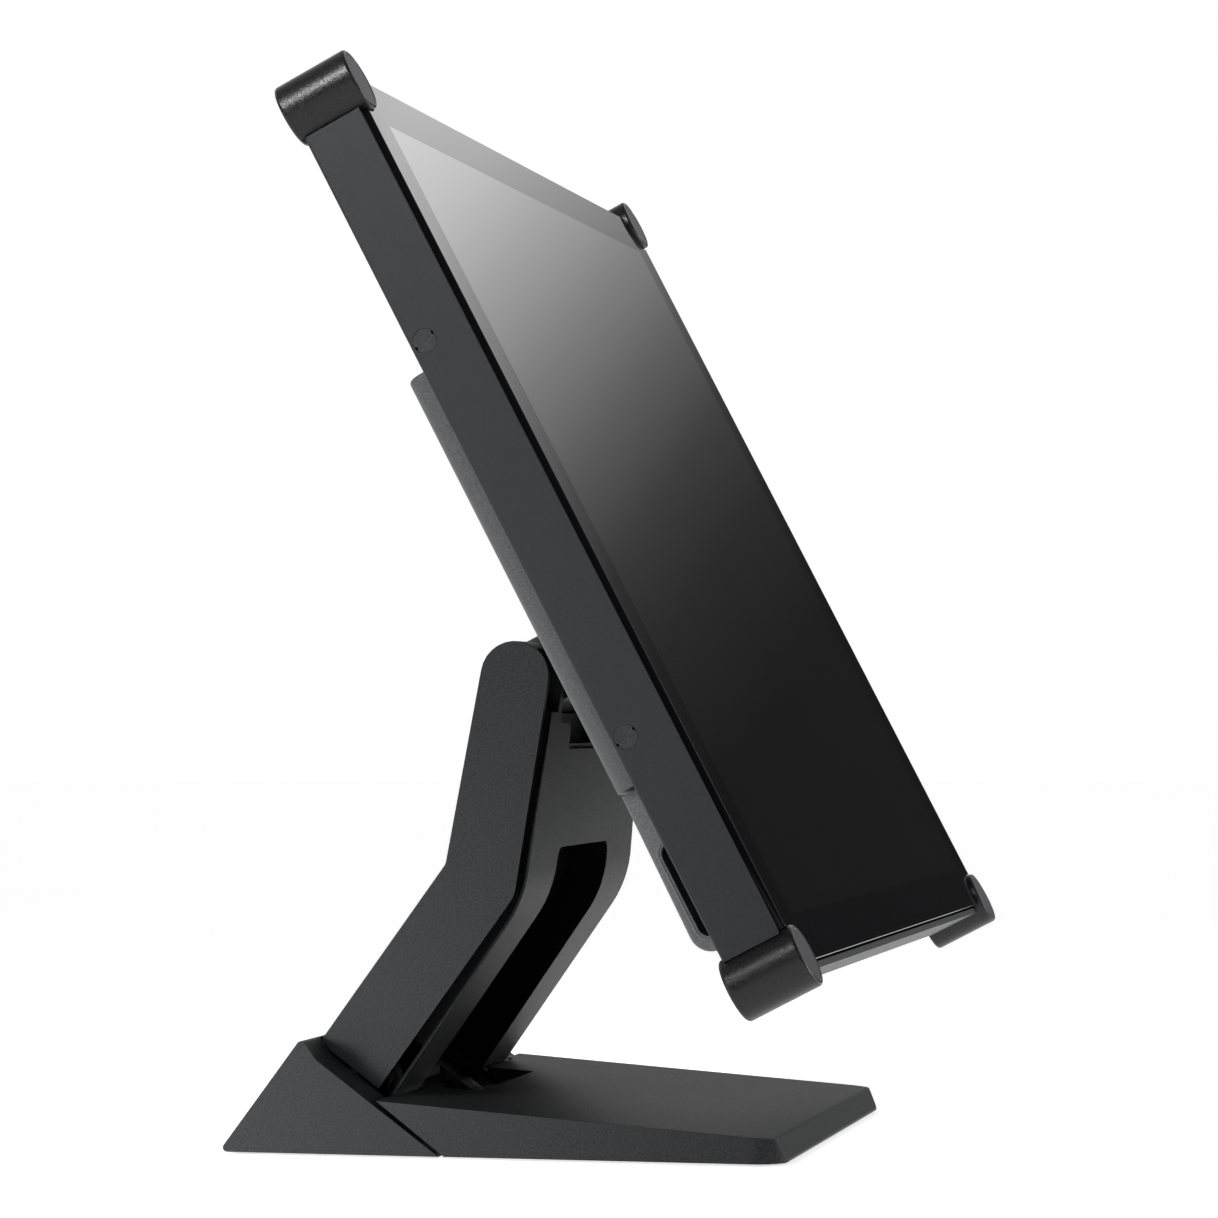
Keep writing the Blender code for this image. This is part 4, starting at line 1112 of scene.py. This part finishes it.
class TILL_OT_stage(bpy.types.Operator):
    """Pale floor, white surroundings, three soft lights and the camera"""

    bl_idname = "till.stage"
    bl_label = "Stage"

    def execute(self, context):
        studio = context.scene.till_studio
        bpy.ops.object.select_all(action="DESELECT")
        bpy.ops.mesh.primitive_circle_add(vertices=96, radius=6.0, fill_type="NGON")
        floor = context.active_object
        floor.name = "floor"
        paint(floor, pale_floor("pale_floor"))

        bpy.ops.mesh.primitive_uv_sphere_add(segments=48, ring_count=24, radius=7.0)
        room = context.active_object
        room.name = "white_room"
        with shaping(room):
            bpy.ops.mesh.select_all(action="SELECT")
            bpy.ops.mesh.flip_normals()
        for ray in ("diffuse", "glossy", "transmission", "volume_scatter", "shadow"):
            setattr(room, "visible_" + ray, False)
        paint(room, flat_emission("room_white", 1.0))

        world = bpy.data.worlds.new("studio")
        context.scene.world = world
        world.use_nodes = True
        tree = world.node_tree
        tree.nodes.clear()
        way = add_node(tree, "ShaderNodeTexCoord")
        split = add_node(tree, "ShaderNodeSeparateXYZ")
        tree.links.new(way.outputs["Generated"], split.inputs[0])
        height = self.ramp(tree, split.outputs["Z"], (
            (0.0, 0.010), (0.15, 0.014), (0.18, 0.03), (0.20, 0.06), (0.22, 0.15), (0.24, 0.30),
            (0.26, 0.52), (0.28, 0.80), (0.30, 1.0), (0.38, 0.75), (0.6, 0.32), (1.0, 0.14),
        ))
        side = remap(tree, split.outputs["X"], -0.6, 0.7, studio.camera_side, 1.0)
        level = add_node(tree, "ShaderNodeMath", operation="MULTIPLY")
        tree.links.new(height, level.inputs[0])
        tree.links.new(side, level.inputs[1])
        back = add_node(tree, "ShaderNodeBackground")
        back.inputs["Strength"].default_value = studio.sky
        tree.links.new(level.outputs[0], back.inputs["Color"])
        out = add_node(tree, "ShaderNodeOutputWorld")
        tree.links.new(back.outputs[0], out.inputs["Surface"])

        self.light("side_light", (-0.95, 0.40, 0.85), (-0.16, 0.08, 0.32), 0.3, 0.36, 27)
        self.light("low_light", (-0.75, 0.5, 0.13), (-0.08, 0.14, -0.04), 0.25, 0.36, 29)
        self.light("front_light", (0.5, -1.6, 0.22), (0, 0.02, 0.06), 0.7, 1.6, 60)

        azimuth, elevation = studio.azimuth, studio.elevation
        target = Vector(studio.target)
        way = Vector((
            math.sin(azimuth) * math.cos(elevation), -math.cos(azimuth) * math.cos(elevation),
            math.sin(elevation),
        ))
        data = bpy.data.cameras.new("camera")
        camera = bpy.data.objects.new("camera", data)
        context.scene.collection.objects.link(camera)
        camera.location = target + way * studio.distance
        camera.rotation_euler = (-way).to_track_quat("-Z", "Y").to_euler()
        data.sensor_width = 36
        data.lens = studio.focal
        data.shift_x, data.shift_y = studio.shift
        data.clip_start, data.clip_end = 0.05, 30
        context.scene.camera = camera
        context.scene.view_settings.view_transform = "Standard"
        context.scene.view_settings.look = "None"
        return {"FINISHED"}

    @staticmethod
    def ramp(tree, value, stops):
        """Grey levels along a value, as (position, level) pairs."""
        node = add_node(tree, "ShaderNodeValToRGB")
        for k, (position, level) in enumerate(stops):
            points = node.color_ramp.elements
            stop = points[k] if k < 2 else points.new(position)
            stop.position = position
            stop.color = (level, level, level, 1)
        tree.links.new(value, node.inputs["Fac"])
        return node.outputs["Color"]

    @staticmethod
    def light(name, place, target, size, power, spread):
        """A square lamp aimed at a place; the spread is the width of its beam in degrees."""
        data = bpy.data.lights.new(name, "AREA")
        data.shape = "SQUARE"
        data.size = size
        data.energy = power
        data.spread = math.radians(spread)
        lamp = bpy.data.objects.new(name, data)
        bpy.context.scene.collection.objects.link(lamp)
        lamp.location = place
        aim = Vector(target) - Vector(place)
        lamp.rotation_euler = aim.to_track_quat("-Z", "Y").to_euler()


class TILL_PT_panel(bpy.types.Panel):
    """Buttons for every piece"""

    bl_idname = "TILL_PT_panel"
    bl_label = "Till Display"
    bl_space_type = "VIEW_3D"
    bl_region_type = "UI"
    bl_category = "Till Display"

    def draw(self, context):
        for operator in OPERATORS:
            self.layout.operator(operator.bl_idname)
        for group in ("till_sizes", "till_finishes", "till_studio"):
            settings = getattr(context.scene, group)
            box = self.layout.box()
            for name in settings.bl_rna.properties.keys():
                if name not in ("rna_type", "name"):
                    box.prop(settings, name)


OPERATORS = (
    TILL_OT_stage,
    TILL_OT_glass,
    TILL_OT_housing,
    TILL_OT_caps,
    TILL_OT_plugs,
    TILL_OT_rear_cover,
    TILL_OT_cable_cover,
    TILL_OT_keys,
    TILL_OT_hinge_parts,
    TILL_OT_arm,
    TILL_OT_base,
    TILL_OT_inner_parts,
)
GROUPS = (
    ("till_sizes", TillSizes),
    ("till_finishes", TillFinishes),
    ("till_studio", TillStudio),
)


def register():
    for name, group in GROUPS:
        bpy.utils.register_class(group)
        setattr(bpy.types.Scene, name, PointerProperty(type=group))
    for operator in OPERATORS:
        bpy.utils.register_class(operator)
    bpy.utils.register_class(TILL_PT_panel)


def unregister():
    bpy.utils.unregister_class(TILL_PT_panel)
    for operator in reversed(OPERATORS):
        bpy.utils.unregister_class(operator)
    for name, group in reversed(GROUPS):
        delattr(bpy.types.Scene, name)
        bpy.utils.unregister_class(group)


def main():
    register()
    for operator in OPERATORS:
        group, name = operator.bl_idname.split(".")
        getattr(getattr(bpy.ops, group), name)()


if __name__ == "__main__":
    main()
